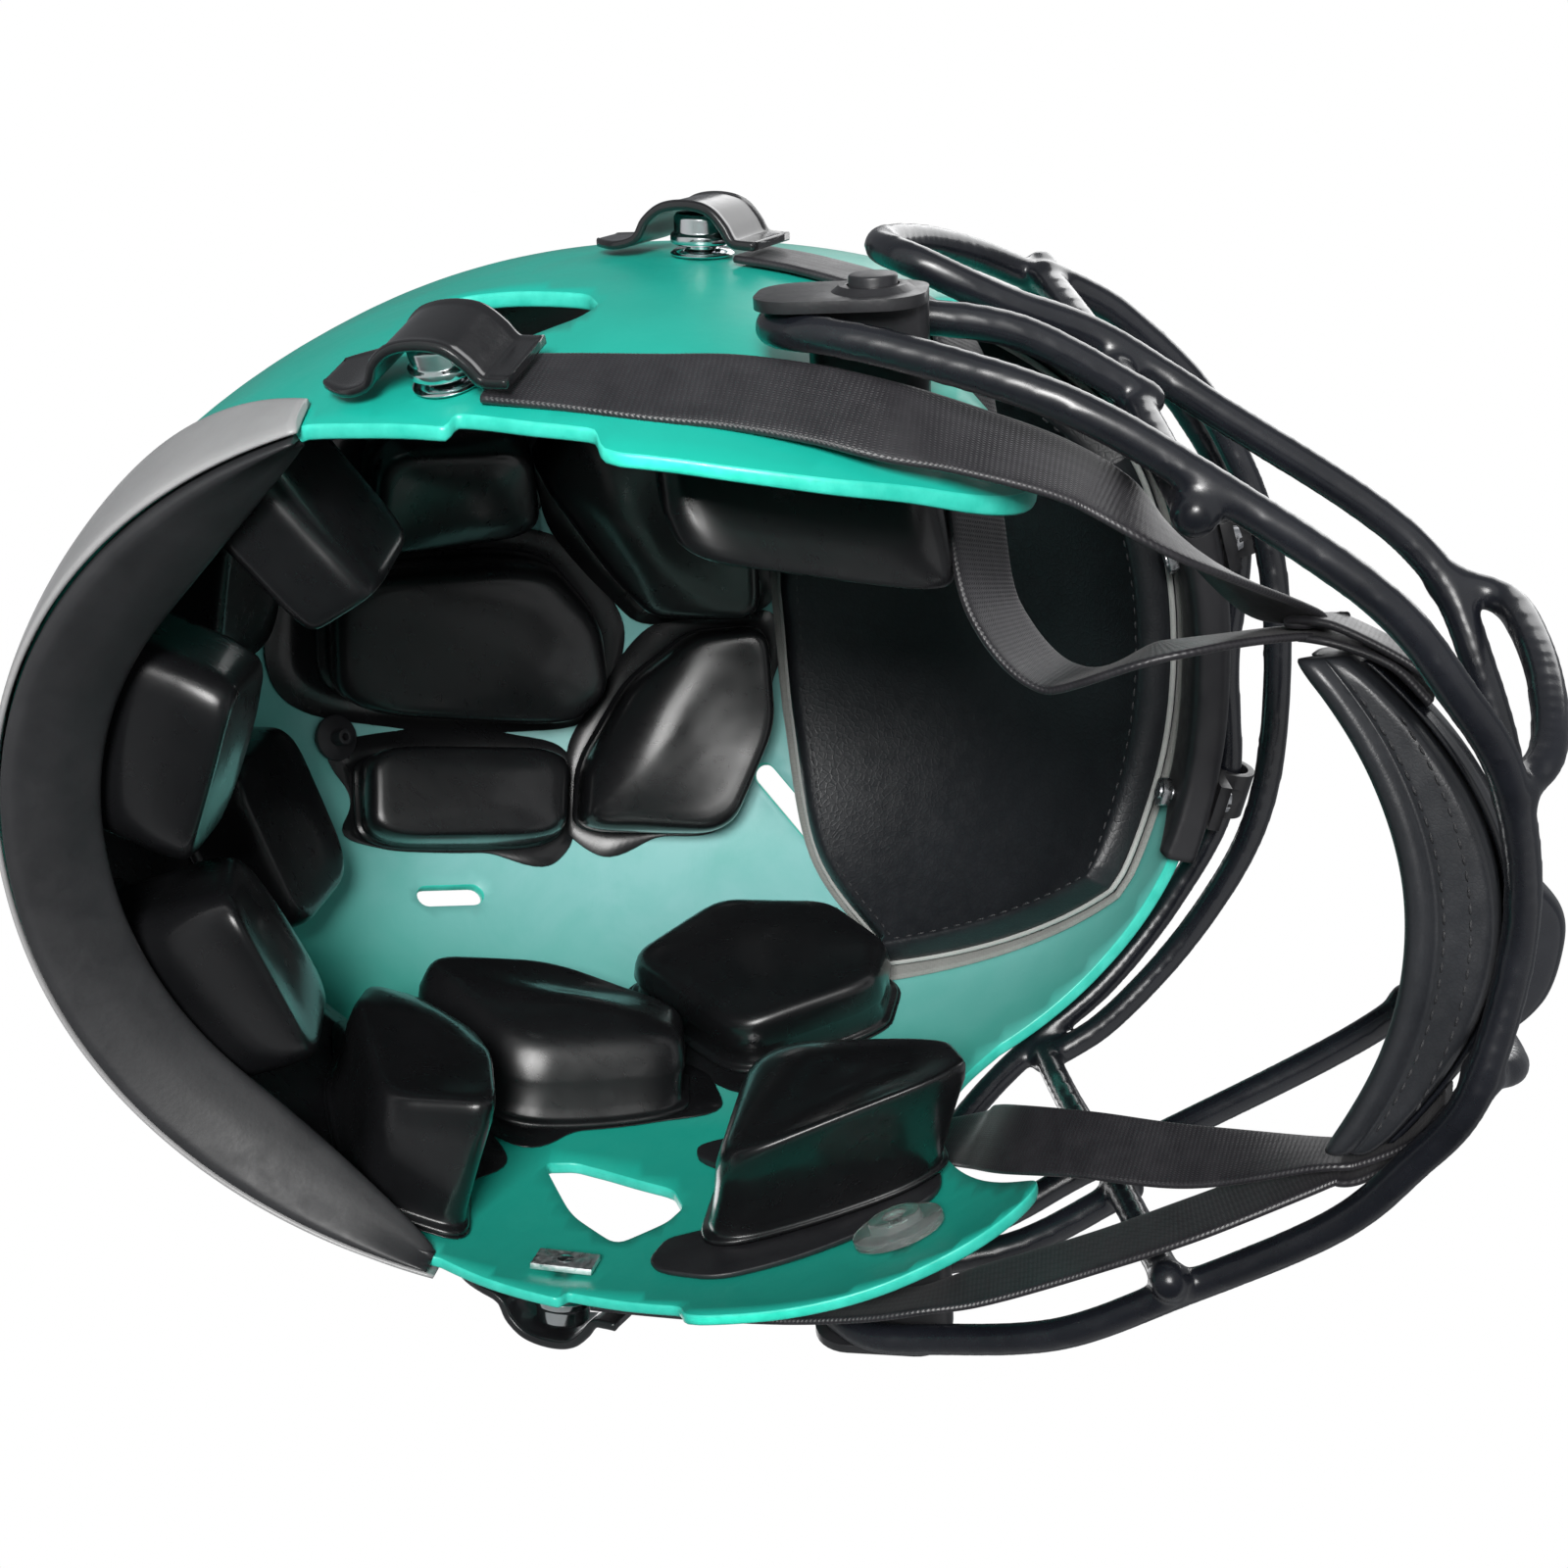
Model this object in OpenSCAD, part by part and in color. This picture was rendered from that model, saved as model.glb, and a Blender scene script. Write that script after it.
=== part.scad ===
// Football helmet with face mask, padding and chin straps
// Stands on the front of its jaw bar and on the lower edges of the side flaps.
// X is the wearer's left, Y points to the back of the head, Z is up.

/* [Shell] */
// overall width of the hard shell
shell_width = 254; // [250:1:258]
// length of the hard shell, front to rear
shell_length = 307.5; // [303:0.5:312]
// height of the crown above the ground
crown_height = 252; // [248:1:256]
// thickness of the shell wall
shell_wall = 3.6; // [3.2:0.1:4]
// width of the crown slots and rear vents
vent_width = 8; // [6:0.5:10]

/* [Face mask] */
// diameter of the coated wire
wire_diameter = 7.5; // [6.6:0.1:8]
// width of the clips that hold the brow bar
brow_clip_width = 14; // [11:0.5:16]
// diameter of the release buttons
button_diameter = 10; // [8:0.5:11]
// travel of the release buttons
button_travel = 2; // [1.5:0.1:2.5]

/* [Padding] */
// thickness of the brow pad
brow_pad_thickness = 11; // [8:0.5:13]
// distance that every pad face is moved towards the head
pad_growth = 0; // [-4:0.5:2]
// bulge of the pad faces
pad_crown = 1.4; // [0.5:0.1:2.5]

/* [Chin straps] */
// width of the strap webbing
strap_width = 19; // [17:0.5:20]
// thickness of the strap webbing
strap_thickness = 1.9; // [1.5:0.1:2.2]
// width of the chin cup from end to end
cup_width = 112; // [106:1:116]
// height of the chin cup at its middle
cup_height = 34; // [31:0.5:36]

/* [Snaps and valves] */
// diameter of the snap stud flange
snap_flange = 16; // [14:0.5:17]
// diameter of the inflation needle bore
needle_bore = 2.2; // [2:0.1:2.6]
// length of the inflation needle bore
needle_depth = 14; // [12:0.5:16]

/* [Hidden] */
$fn = 32;

shell_green = [0.12, 0.62, 0.5];
pad_black = [0.06, 0.06, 0.07];
wire_black = [0.05, 0.05, 0.06];
strap_grey = [0.13, 0.13, 0.14];
bumper_grey = [0.55, 0.56, 0.58];
backing_grey = [0.45, 0.46, 0.47];
steel = [0.8, 0.81, 0.83];

// places are drawn on a shell 254 wide, 307.5 long and 252 high, and follow the set sizes
kx = shell_width / 254;
ky = shell_length / 307.5;
kz = crown_height / 252;
drawn_mid_y = 30;
mid_y = 33.84;
half_w = shell_width / 2;
front_b = shell_length * 155 / 307.5;
rear_b = shell_length * 152.5 / 307.5;
wide_z = crown_height * 122 / 252;
up_h = crown_height - wide_z;
down_h = crown_height * 194 / 252;
level_p = 2.4;
front_p = 2.35;
rear_p = 2.08;
function at(p) = [p.x * kx, mid_y + (p.y - drawn_mid_y) * ky, p.z * kz];
function side_at(yz) = [mid_y + (yz.x - drawn_mid_y) * ky, yz.y * kz];

// Shell surface
function plan_p(y) = y < mid_y ? front_p : rear_p;
function plan_b(y) = y < mid_y ? front_b : rear_b;
function level_size(z, off) =
    let(c = z > wide_z ? up_h - off : down_h, k = abs(z - wide_z) / c)
    k >= 1 ? 0 : pow(1 - pow(k, level_p), 1 / level_p);
function plan_r(az, off) =
    let(dx = abs(sin(az)), dy = -cos(az), pp = dy < 0 ? front_p : rear_p,
        b = (dy < 0 ? front_b : rear_b) - off)
    pow(pow(dx / (half_w - off), pp) + pow(abs(dy) / b, pp), -1 / pp);
function wall_pt(az, z, off) =
    let(r = plan_r(az, off) * level_size(z, off)) [sin(az) * r, mid_y - cos(az) * r, z];
function skin_pt(az, th, off) =
    let(c = th > 0 ? up_h - off : down_h, s = pow(cos(th), 2 / level_p),
        z = wide_z + sign(th) * c * pow(sin(abs(th)), 2 / level_p), r = plan_r(az, off) * s)
    [sin(az) * r, mid_y - cos(az) * r, z];
function shape(p, off) =
    let(pp = plan_p(p.y), b = plan_b(p.y) - off,
        h = pow(pow(abs(p.x) / (half_w - off), pp) + pow(abs(p.y - mid_y) / b, pp), 1 / pp),
        c = p.z > wide_z ? up_h - off : down_h, k = abs(p.z - wide_z) / c)
    pow(h, level_p) + pow(k, level_p) - 1;
// longest way from a point inside the shell to its surface
reach = 0.4 * (shell_length + crown_height);
function hit(p, d, off, lo = 0, hi = reach, n = 20) =
    n == 0 ? p + d * lo :
    let(m = (lo + hi) / 2)
    shape(p + d * m, off) < 0 ? hit(p, d, off, m, hi, n - 1) : hit(p, d, off, lo, m, n - 1);
function unit(v) = v / norm(v);
function outward(p) =
    let(e = 0.05)
    unit([shape(p + [e, 0, 0], 0) - shape(p - [e, 0, 0], 0),
        shape(p + [0, e, 0], 0) - shape(p - [0, e, 0], 0),
        shape(p + [0, 0, e], 0) - shape(p - [0, 0, e], 0)]);
function side_pt(yz, off, side = 1) = let(q = hit([0, yz.x, yz.y], [1, 0, 0], off)) [side * q.x, q.y, q.z];
function front_pt(x, z, off) = hit([x, mid_y, z], [0, -1, 0], off);
function top_pt(x, y, off) = hit([x, y, wide_z], [0, 0, 1], off);
function flip(p, side) = [p.x * side, p.y, p.z];
function mix(a, b, t) = a * (1 - t) + b * t;

// Lofts and sweeps
function seg(P, i, t) =
    let(n = len(P), a = P[max(i - 1, 0)], b = P[i], c = P[min(i + 1, n - 1)], d = P[min(i + 2, n - 1)],
        p0 = i == 0 ? 2 * b - c : a, p3 = i >= n - 2 ? 2 * c - b : d)
    0.5 * (2 * b + (c - p0) * t + (2 * p0 - 5 * b + 4 * c - p3) * t * t
        + (3 * b - p0 - 3 * c + p3) * t * t * t);
function curve(P, n) = concat([for (i = [0:len(P) - 2]) for (j = [0:n - 1]) seg(P, i, j / n)], [P[len(P) - 1]]);
function along(P, t) = let(s = t * (len(P) - 1), i = min(floor(s), len(P) - 2)) seg(P, i, s - i);
function spaced(P, step) =
    concat([for (i = [0:len(P) - 2])
        let(n = max(1, round(norm(P[i + 1] - P[i]) / step))) for (j = [0:n - 1]) seg(P, i, j / n)],
        [P[len(P) - 1]]);
function heading(Q, i) = unit(Q[min(i + 1, len(Q) - 1)] - Q[max(i - 1, 0)]);
function square_to(v, t) = unit(v - (v * t) * t);
function carried(Q) =
    let(t0 = heading(Q, 0), s = abs(t0.z) < 0.8 ? [0, 0, 1] : [0, 1, 0])
    [for (i = 0, v = square_to(s, t0); i < len(Q); i = i + 1,
        v = i < len(Q) ? square_to(v, heading(Q, i)) : v) v];
// paired ends close a thin curved panel edge by edge, where its rings go out on one face and back on the other
module loft(rings, paired = false) {
    n = len(rings[0]);
    m = len(rings);
    first = [for (k = [0:2]) [for (p = rings[0]) p[k]] * [for (p = rings[0]) 1] / n];
    last = [for (k = [0:2]) [for (p = rings[m - 1]) p[k]] * [for (p = rings[0]) 1] / n];
    points = concat([for (r = rings) each r], [first, last]);
    sides = [for (j = [0:m - 2]) for (i = [0:n - 1])
        let(a = j * n + i, b = j * n + (i + 1) % n, c = b + n, d = a + n)
        each norm(points[a] - points[c]) < norm(points[b] - points[d])
            ? [[a, b, c], [a, c, d]] : [[a, b, d], [b, c, d]]];
    z = (m - 1) * n;
    start = [for (i = [0:n - 1]) [(i + 1) % n, i, m * n]];
    finish = [for (i = [0:n - 1]) [z + i, z + (i + 1) % n, m * n + 1]];
    start_pairs = [for (i = [0:n / 2 - 2]) each [[i + 1, i, n - 1 - i], [i + 1, n - 1 - i, n - 2 - i]]];
    finish_pairs = [for (f = start_pairs) [z + f.y, z + f.x, z + f.z]];
    if (paired) {
        polyhedron([for (r = rings) each r], concat(sides, start_pairs, finish_pairs), convexity = 8);
    } else {
        polyhedron(points, concat(sides, start, finish), convexity = 8);
    }
}
// a loft whose rings run the other way round
module turned_loft(rings) {
    loft([for (r = rings) [for (i = [len(r) - 1:-1:0]) r[i]]]);
}
function around(c, v, w, r, sides) =
    [for (k = [0:sides - 1]) c + r * (cos(k * 360 / sides) * v + sin(k * 360 / sides) * w)];
module tube(P, r, step = 10, sides = 8, balls = false) {
    Q = spaced(P, step);
    V = carried(Q);
    m = len(Q) - 1;
    b = r * 1.3;
    t0 = heading(Q, 0);
    t1 = heading(Q, m);
    rings = [for (i = [0:m]) let(t = heading(Q, i), g = balls && (i == 0 || i == m) ? b : r)
        around(Q[i], V[i], cross(t, V[i]), g, sides)];
    head = [for (a = [70, 35]) around(Q[0] - t0 * b * sin(a), V[0], cross(t0, V[0]), b * cos(a), sides)];
    neck0 = around(Q[0] + t0 * b * 0.7, V[0], cross(t0, V[0]), r, sides);
    neck1 = around(Q[m] - t1 * b * 0.7, V[m], cross(t1, V[m]), r, sides);
    tail = [for (a = [35, 70]) around(Q[m] + t1 * b * sin(a), V[m], cross(t1, V[m]), b * cos(a), sides)];
    inner = [for (i = [1:m - 1]) rings[i]];
    if (balls) {
        loft(concat(head, [rings[0], neck0], inner, [neck1, rings[m]], tail));
    } else {
        loft(rings);
    }
}
module ribbon(P, N, w, t, n = 3) {
    Q = curve(P, n);
    F = curve(N, n);
    rings = [for (i = [0:len(Q) - 1])
        let(d = heading(Q, i), f = square_to(F[i], d), s = cross(d, f))
        [Q[i] + s * w / 2 + f * t / 2, Q[i] + s * w / 2 - f * t / 2,
            Q[i] - s * w / 2 - f * t / 2, Q[i] - s * w / 2 + f * t / 2]];
    turned_loft(rings);
}
module stand(p, n, x = [0, 0, 1]) {
    a = unit(cross(x, n));
    b = cross(n, a);
    multmatrix([[a.x, b.x, n.x, p.x], [a.y, b.y, n.y, p.y], [a.z, b.z, n.z, p.z], [0, 0, 0, 1]]) children();
}
module both() {
    children();
    mirror([1, 0, 0]) children();
}

// Rim of the shell, seen from the side, from the rear end of the flap to the front edge
rim = [[75.2, 19], [62.7, 13.9], [51.5, 10.7], [41.3, 7.9], [40.6, 12.5], [24.3, 8.7], [10.1, 6.7],
    [7.7, 1.2], [4, 0], [-14.9, 0], [-27, 1.6], [-38.6, 4.5], [-50.3, 10], [-63.9, 17], [-73.4, 27],
    [-76, 36], [-72, 42], [-66, 48.6], [-60, 56], [-54.5, 65], [-50, 75], [-47, 85], [-46, 95],
    [-47, 105], [-50, 115], [-55, 122.6], [-62, 129], [-76, 135], [-93, 142.6], [-112, 150],
    [-121.5, 156]];
edge_z = [[-130, 157], [-121.5, 156], [-112, 150], [-93, 142.6], [-76, 135], [-62, 129]];
rim_rear_z = 19 * kz;
ear_hole = [[66, 79.3], [57.4, 82.4], [47, 80.2], [26.6, 73.4], [21.7, 64], [24.6, 55.5], [35.5, 42],
    [51.8, 55.8]];
ear_round = 3;
low_snap = side_at([45, 25]);
high_snap = side_at([8.1, 116]);
clip_seat = side_at([-43, 33]);
brow_bolt_x = 37.6 * kx;
brow_bolt_z = 158.5 * kz;
brow_bolt = front_pt(brow_bolt_x, brow_bolt_z, 0);
screw_r = 2.2;
hole_r = 2.9;

module shell_blank() {
    n = 56;
    lows = [-41, -34, -27, -19, -10, 0];
    highs = [9, 18, 27, 36, 45, 54, 63, 72, 81];
    levels = concat(lows, highs);
    m = len(levels);
    outer = [for (th = levels) for (i = [0:n - 1]) skin_pt(i * 360 / n, th, 0)];
    inner = [for (th = levels) for (i = [0:n - 1]) skin_pt(i * 360 / n, th, shell_wall)];
    points = concat(outer, inner, [[0, mid_y, crown_height], [0, mid_y, crown_height - shell_wall]]);
    k = m * n;
    walls = [for (j = [0:m - 2]) for (i = [0:n - 1])
        let(a = j * n + i, b = j * n + (i + 1) % n)
        each [[a, a + n, b + n], [a, b + n, b], [k + a, k + b + n, k + a + n], [k + a, k + b, k + b + n]]];
    tops = [for (i = [0:n - 1])
        let(a = (m - 1) * n + i, b = (m - 1) * n + (i + 1) % n)
        each [[a, 2 * k, b], [k + b, 2 * k + 1, k + a]]];
    base = [for (i = [0:n - 1]) let(b = (i + 1) % n) each [[i, b, k + b], [i, k + b, k + i]]];
    polyhedron(points, concat(walls, tops, base), convexity = 8);
}
module flared_hole(p, n) {
    stand(p, n) hull() {
        translate([0, 0, -12]) cylinder(r = hole_r, h = 11.5, $fn = 16);
        cylinder(r = hole_r + 0.4, h = 3, $fn = 16);
    }
}
module slot(a, b, w) {
    pa = top_pt(a.x, a.y, 0);
    pb = top_pt(b.x, b.y, 0);
    hull() {
        stand(pa, outward(pa)) cylinder(d = w, h = 24, center = true, $fn = 16);
        stand(pb, outward(pb)) cylinder(d = w, h = 24, center = true, $fn = 16);
    }
}
module shell() {
    color(shell_green) difference() {
        intersection() {
            shell_blank();
            rotate([90, 0, 90]) linear_extrude(shell_width + 20, center = true)
                polygon([for (p = concat(rim, [[-210, 157], [-210, 300], [260, 300], [260, 19]])) side_at(p)]);
        }
        for (s = [-1, 1]) {
            hull() for (p = ear_hole) {
                q = side_at(mix(p, [43, 64], 0.12));
                translate([s * half_w, q.x, q.y]) rotate([0, 90, 0])
                    cylinder(r = ear_round, h = 60, center = true, $fn = 16);
            }
            slot([s * 68 * kx, mid_y - 7], [s * 84 * kx, mid_y - 24], vent_width);
            slot([s * 88 * kx, mid_y + 100 * ky], [s * 92 * kx, mid_y + 88 * ky], vent_width);
            flared_hole(side_pt(low_snap, 0, s), outward(side_pt(low_snap, 0, s)));
            flared_hole(side_pt(high_snap, 0, s), outward(side_pt(high_snap, 0, s)));
            flared_hole(side_pt(clip_seat, 0, s), [s, 0, 0]);
            flared_hole(flip(brow_bolt, s), outward(flip(brow_bolt, s)));
            flared_hole(flip(valve_seat, s), outward(flip(valve_seat, s)));
        }
    }
}

// Strips on the edges of the shell
function strip_ring(az, pts) = [for (p = pts) wall_pt(az, p.y, p.x)];
module rear_bumper() {
    low = 14.4 * kz;
    high = 56 * kz;
    color(bumper_grey) loft([for (i = [0:30])
        let(az = 113 + i * 134 / 30, e = min(1, min(i, 30 - i) / 4),
            top = low + (high - low) * (0.45 + 0.55 * sin(90 * e)), h = top - low)
        strip_ring(az, [[-0.6, low], [-1.8, low + 0.2], [-2.6, low + 1.6], [-2.7, low + h * 0.35],
            [-2.7, low + h * 0.68], [-2.5, top - 2], [-1.8, top - 0.4], [-0.6, top], [-0.65, low + h * 0.68],
            [-0.65, low + h * 0.35]])]);
}
module rear_band() {
    z0 = rim_rear_z;
    color(pad_black) loft([for (i = [0:30])
        let(az = 114 + i * 132 / 30, e = min(1, min(i, 30 - i) / 3.4), g = 0.35 + 0.65 * sin(90 * e))
        strip_ring(az, [[0.3, z0 - 5.6], [0.3, z0 - 0.5], [shell_wall + 0.9, z0 - 0.5],
            [shell_wall + 0.9, z0 + 5 * g], [14 * g, z0 + 10 * g], [22 * g, z0 + 13 * g], [24 * g, z0 + 12.4 * g],
            [24.6 * g, z0 + 10 * g], [14 * g, z0 + 1.6 * g - 1], [3.4 * g + 0.5, z0 - 5.4]])]);
}
function edge_at(az, off) =
    let(y = wall_pt(az, 153 * kz, off).y) lookup(drawn_mid_y + (y - mid_y) / ky, edge_z) * kz;
module front_bumper() {
    color(pad_black) difference() {
        turned_loft([for (i = [0:12])
            let(az = -20 + i * 40 / 12, w = shell_wall, zo = edge_at(az, 0), zi = edge_at(az, w + 1),
                e = min(1, min(i, 12 - i) / 2 + 0.03))
            strip_ring(az, [[-0.7, zo - 0.9], [-0.7, zo + 7 * e], [-0.7, zo + 15 * e], [-2.4, zo + 15 * e],
                [-3.5, zo + 13 * e], [-3.6, zo - 1.4], [-2, zo - 4.8], [w + 2, zi - 5], [w + 3.6, zi - 2],
                [w + 3.4, zi + 11 * e], [w + 2, zi + 12.5 * e], [w + 1, zi + 12.5 * e], [w + 1, zi - 1.6]])]);
        for (s = [-1, 1]) {
            stand(flip(brow_bolt, s), outward(flip(brow_bolt, s))) cylinder(r = hole_r, h = 40, center = true);
        }
    }
}

// Brow pad, a curved panel from the front edge to the crown
brow_heart = [0, mid_y - 20, 120];
brow_rear = [[0, 15, 248], [48, 12, 241], [88, 2, 216], [106, -24, 183]];
brow_front = [[0, -116, 171], [27, -112, 170], [48, -106, 167], [64, -98, 160]];
function brow_pt(u, v, off) =
    let(r = at(along(brow_rear, abs(u))), f = at(along(brow_front, abs(u))), q = mix(r, f, v),
        d = unit([q.x * sign(u), q.y, q.z] - brow_heart))
    hit(brow_heart, d, off);
function edge_fade(u, v, a, b) = min(1, min((1 - abs(u)) / a, min(v, 1 - v) / b));
module brow_panel(low, thick, rim_thick, grow, nu, nv) {
    us = [for (i = [0:nu]) let(t = -1 + 2 * i / nu) sign(t) * (1 - pow(1 - abs(t), 1.35))];
    vs = [for (j = [0:nv]) let(t = -1 + 2 * j / nv) 0.5 + 0.5 * sign(t) * (1 - pow(1 - abs(t), 1.5))];
    loft([for (u = us) concat(
        [for (v = vs) brow_pt(u * (1 + grow), -grow + v * (1 + grow * 1.2), low)],
        [for (j = [nv:-1:0])
            let(v = vs[j], e = edge_fade(u, v, 0.1, 0.08), g = sqrt(1 - pow(1 - e, 2)))
            brow_pt(u * (1 + grow), -grow + v * (1 + grow * 1.2),
                low + rim_thick + (thick - rim_thick) * g * (0.78 + 0.22 * sin(180 * v)))])], true);
}
module brow_pad_backing() {
    color(backing_grey) brow_panel(shell_wall + 0.7, 1.3, 1.3, 0.035, 16, 10);
}
module brow_pad() {
    color(pad_black) brow_panel(shell_wall + 2.8, brow_pad_thickness, 2.2, 0, 16, 10);
}

// Block pads: a face towards the head, walls that flare to a flange on the shell
function loop(C, f, n) =
    // f is the rounded share of each edge and n the points of each corner
    let(m = len(C))
    [for (i = [0:m - 1])
        let(p = mix(C[i], C[(i + m - 1) % m], f), q = mix(C[i], C[(i + 1) % m], f)) for (j = [0:n - 1])
            let(t = j / (n - 1)) mix(mix(p, C[i], t), mix(C[i], q, t), t)];
function centre(C) = [for (k = [0:2]) [for (p = C) p[k]] * [for (p = C) 1] / len(C)];
module block_pad(face, dir, side = 1, off = 0, f = 0.26, n = 4, flange = 1.08, edge = 7, spread = 260) {
    C = [for (p = face) at(p)];
    c = centre(C);
    d = unit(dir);
    eye = c - d * spread;
    T = loop(C, f, n);
    base = shell_wall + 0.7 + off;
    function out(p) = unit(p - eye);
    function foot(p, k, lift) = let(q = mix(c, p, k), h = hit(q, out(q), base)) h - out(q) * lift;
    function level(p, k, drop) = let(q = mix(c, p, k)) q + out(q) * drop - d * pad_growth;
    rings = [[for (p = T) foot(p, flange, 0)],
        [for (p = T) foot(p, flange, 2)],
        [for (p = T) foot(p, flange - 0.05, 3)],
        [for (p = T) level(p, 1.01, edge + 3)],
        [for (p = T) level(p, 0.99, edge * 0.5)],
        [for (p = T) level(p, 0.94, edge * 0.12)],
        [for (p = T) level(p, 0.86, -0.1)],
        [for (p = T) level(p, 0.45, -pad_crown)]];
    R = [for (r = rings) [for (p = r) flip(p, side)]];
    color(pad_black) {
        if (side > 0) {
            loft(R);
        } else {
            turned_loft(R);
        }
    }
}
// the crown and rear pads differ from side to side, and the lists of the right ones are mirrored
crown_rear_face = [[-22, 144, 180], [20, 147, 174], [41, 83, 215], [31, 71, 223], [8, 72, 225], [-15, 87, 221]];
crown_block_left_face = [[32, 142, 181], [47, 84, 215], [73, 84, 198], [58, 139, 164]];
crown_block_right_face = [[25, 136, 190], [24, 88, 221], [56, 84, 208], [61, 124, 182]];
crown_wing_left_face = [[72, 80, 201], [53, 80, 213], [28, 64, 225], [12, 42, 229], [10, 17, 229],
    [42, 15, 222], [75, 30, 207]];
crown_wing_right_face = [[62, 70, 207], [43, 86, 216], [8, 69, 227], [-8, 56, 228], [-9, 19, 228],
    [32, 17, 223], [61, 32, 212]];
upper_side_face = [[97, 59, 163], [88, 33, 188], [86, -5, 184], [89, -26, 163], [95, -24, 147], [103, 17, 128]];
side_face = [[96, 78, 104], [103, 32, 122], [102, 36, 142], [92, 81, 153], [79, 115, 131]];
rear_upper_face = [[12, 156, 112], [62, 139, 108], [61, 138, 147], [12, 155, 155]];
rear_side_left_face = [[67, 59, 34], [67, 90, 34], [63, 112, 74], [70, 117, 96], [78, 106, 102],
    [84, 84, 92], [76, 72, 70]];
rear_side_right_face = [[66, 71, 34], [55, 91, 34], [58, 97, 76], [70, 76, 76]];
nape_left_face = [[12, 121, 34], [59, 105, 34], [60, 117, 72], [15, 137, 72]];
nape_right_face = [[-42, 110, 34], [5, 131, 34], [9, 140, 72], [-40, 117, 72]];
jaw_face = [[77, 3, 23], [58, -60, 46], [72, -51, 80], [80, 3, 84]];
module crown_rear_pad() {
    block_pad(crown_rear_face, [0.05, 0.5, 0.86], 1, 0, 0.3, 3, 1.03, 7, 500);
}
module crown_block_pad_left() {
    block_pad(crown_block_left_face, [0.5, 0.5, 0.7], 1, 0, 0.26, 4, 1.04, 7, 500);
}
module crown_block_pad_right() {
    block_pad(crown_block_right_face, [0.35, 0.45, 0.82], -1, 0, 0.26, 4, 1.03, 7, 500);
}
module crown_wing_pad_left() {
    block_pad(crown_wing_left_face, [0.33, 0.36, 0.87], 1, 0, 0.24, 3, 1.02, 7, 500);
}
module crown_wing_pad_right() {
    block_pad(crown_wing_right_face, [0.2, 0.36, 0.91], -1, 0, 0.24, 3, 1.02, 7, 500);
}
module upper_side_pad_left() {
    block_pad(upper_side_face, [0.96, 0.02, 0.28], 1, 0, 0.2, 3, 1.03, 7, 400);
}
module upper_side_pad_right() {
    block_pad(upper_side_face, [0.96, 0.02, 0.28], -1, 0, 0.2, 3, 1.03, 7, 400);
}
module side_pad_left() {
    block_pad(side_face, [0.86, 0.12, -0.45], 1, 0, 0.24, 4, 1.04, 7, 220);
}
module side_pad_right() {
    block_pad(side_face, [0.86, 0.12, -0.45], -1, 0, 0.24, 4, 1.04, 7, 220);
}
module rear_upper_pad_left() {
    block_pad(rear_upper_face, [0.22, 0.95, 0.12], 1);
}
module rear_upper_pad_right() {
    block_pad(rear_upper_face, [0.22, 0.95, 0.12], -1);
}
module rear_side_pad_left() {
    block_pad(rear_side_left_face, [0.93, 0.36, 0], 1, 0, 0.24, 3, 1.02, 7, 400);
}
module rear_side_pad_right() {
    block_pad(rear_side_right_face, [0.8, 0.6, 0], -1, 0, 0.26, 4, 1.06, 7, 400);
}
module nape_pad_left() {
    block_pad(nape_left_face, [0.34, 0.94, 0.05], 1, 0, 0.24, 4, 1.02, 7, 400);
}
module nape_pad_right() {
    block_pad(nape_right_face, [-0.4, 0.92, 0.05], 1, 0, 0.24, 4, 1.02, 7, 400);
}
jaw_plate_thickness = 2;
// space behind the jaw pad for the retainer of the side clip
module retainer_space(side) {
    p = side_pt(clip_seat, 0, side);
    stand(p, outward(p)) translate([0, 0, -shell_wall - 9]) cylinder(r = 13.5, h = 14);
}
module jaw_pad(side) {
    color(pad_black) difference() {
        block_pad(jaw_face, [0.9, 0.2, 0.3], side, jaw_plate_thickness + 0.4, 0.26, 4, 1, 7, 500);
        retainer_space(side);
    }
}
module jaw_pad_left() {
    jaw_pad(1);
}
module jaw_pad_right() {
    jaw_pad(-1);
}
// thin plate under each jaw pad, with two rounded tabs to the rear
module jaw_plate(side) {
    C = [[24, 31], [20, 25], [4, 21], [-14, 30], [-34, 42], [-52, 54], [-42, 90], [-16, 98], [16, 98],
        [24, 93], [22, 86], [6, 80], [6, 48], [22, 44]];
    L = loop([for (p = C) side_at(p)], 0.3, 2);
    m = side_at([-16, 62]);
    function plate_ring(k, off) = [for (p = L) let(q = mix(m, p, k)) side_pt(q, off, side)];
    rings = [plate_ring(0.5, shell_wall + 0.7), plate_ring(1, shell_wall + 0.7),
        plate_ring(1, shell_wall + 0.7 + jaw_plate_thickness),
        plate_ring(0.5, shell_wall + 0.7 + jaw_plate_thickness)];
    color(pad_black) difference() {
        if (side > 0) {
            turned_loft(rings);
        } else {
            loft(rings);
        }
        retainer_space(side);
    }
}
module jaw_plate_left() {
    jaw_plate(1);
}
module jaw_plate_right() {
    jaw_plate(-1);
}

// Inflation valves in the rear of the shell
valve_seat = hit([0, mid_y, 110], unit(at([35, 160, 191]) - [0, mid_y, 110]), 0);
module valve(side) {
    p = flip(valve_seat, side);
    color(pad_black) stand(p, outward(p)) difference() {
        union() {
            translate([0, 0, 0.6]) cylinder(r = 6, h = 1.4);
            translate([0, 0, 0.6 - needle_depth + 1.4]) cylinder(r = hole_r - 0.3, h = needle_depth);
            translate([0, 0, -shell_wall - 3.4]) cylinder(r = 7.5, h = 1.8);
        }
        translate([0, 0, -needle_depth]) cylinder(d = needle_bore, h = needle_depth + 4);
    }
}
module valve_left() {
    valve(1);
}
module valve_right() {
    valve(-1);
}

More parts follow.
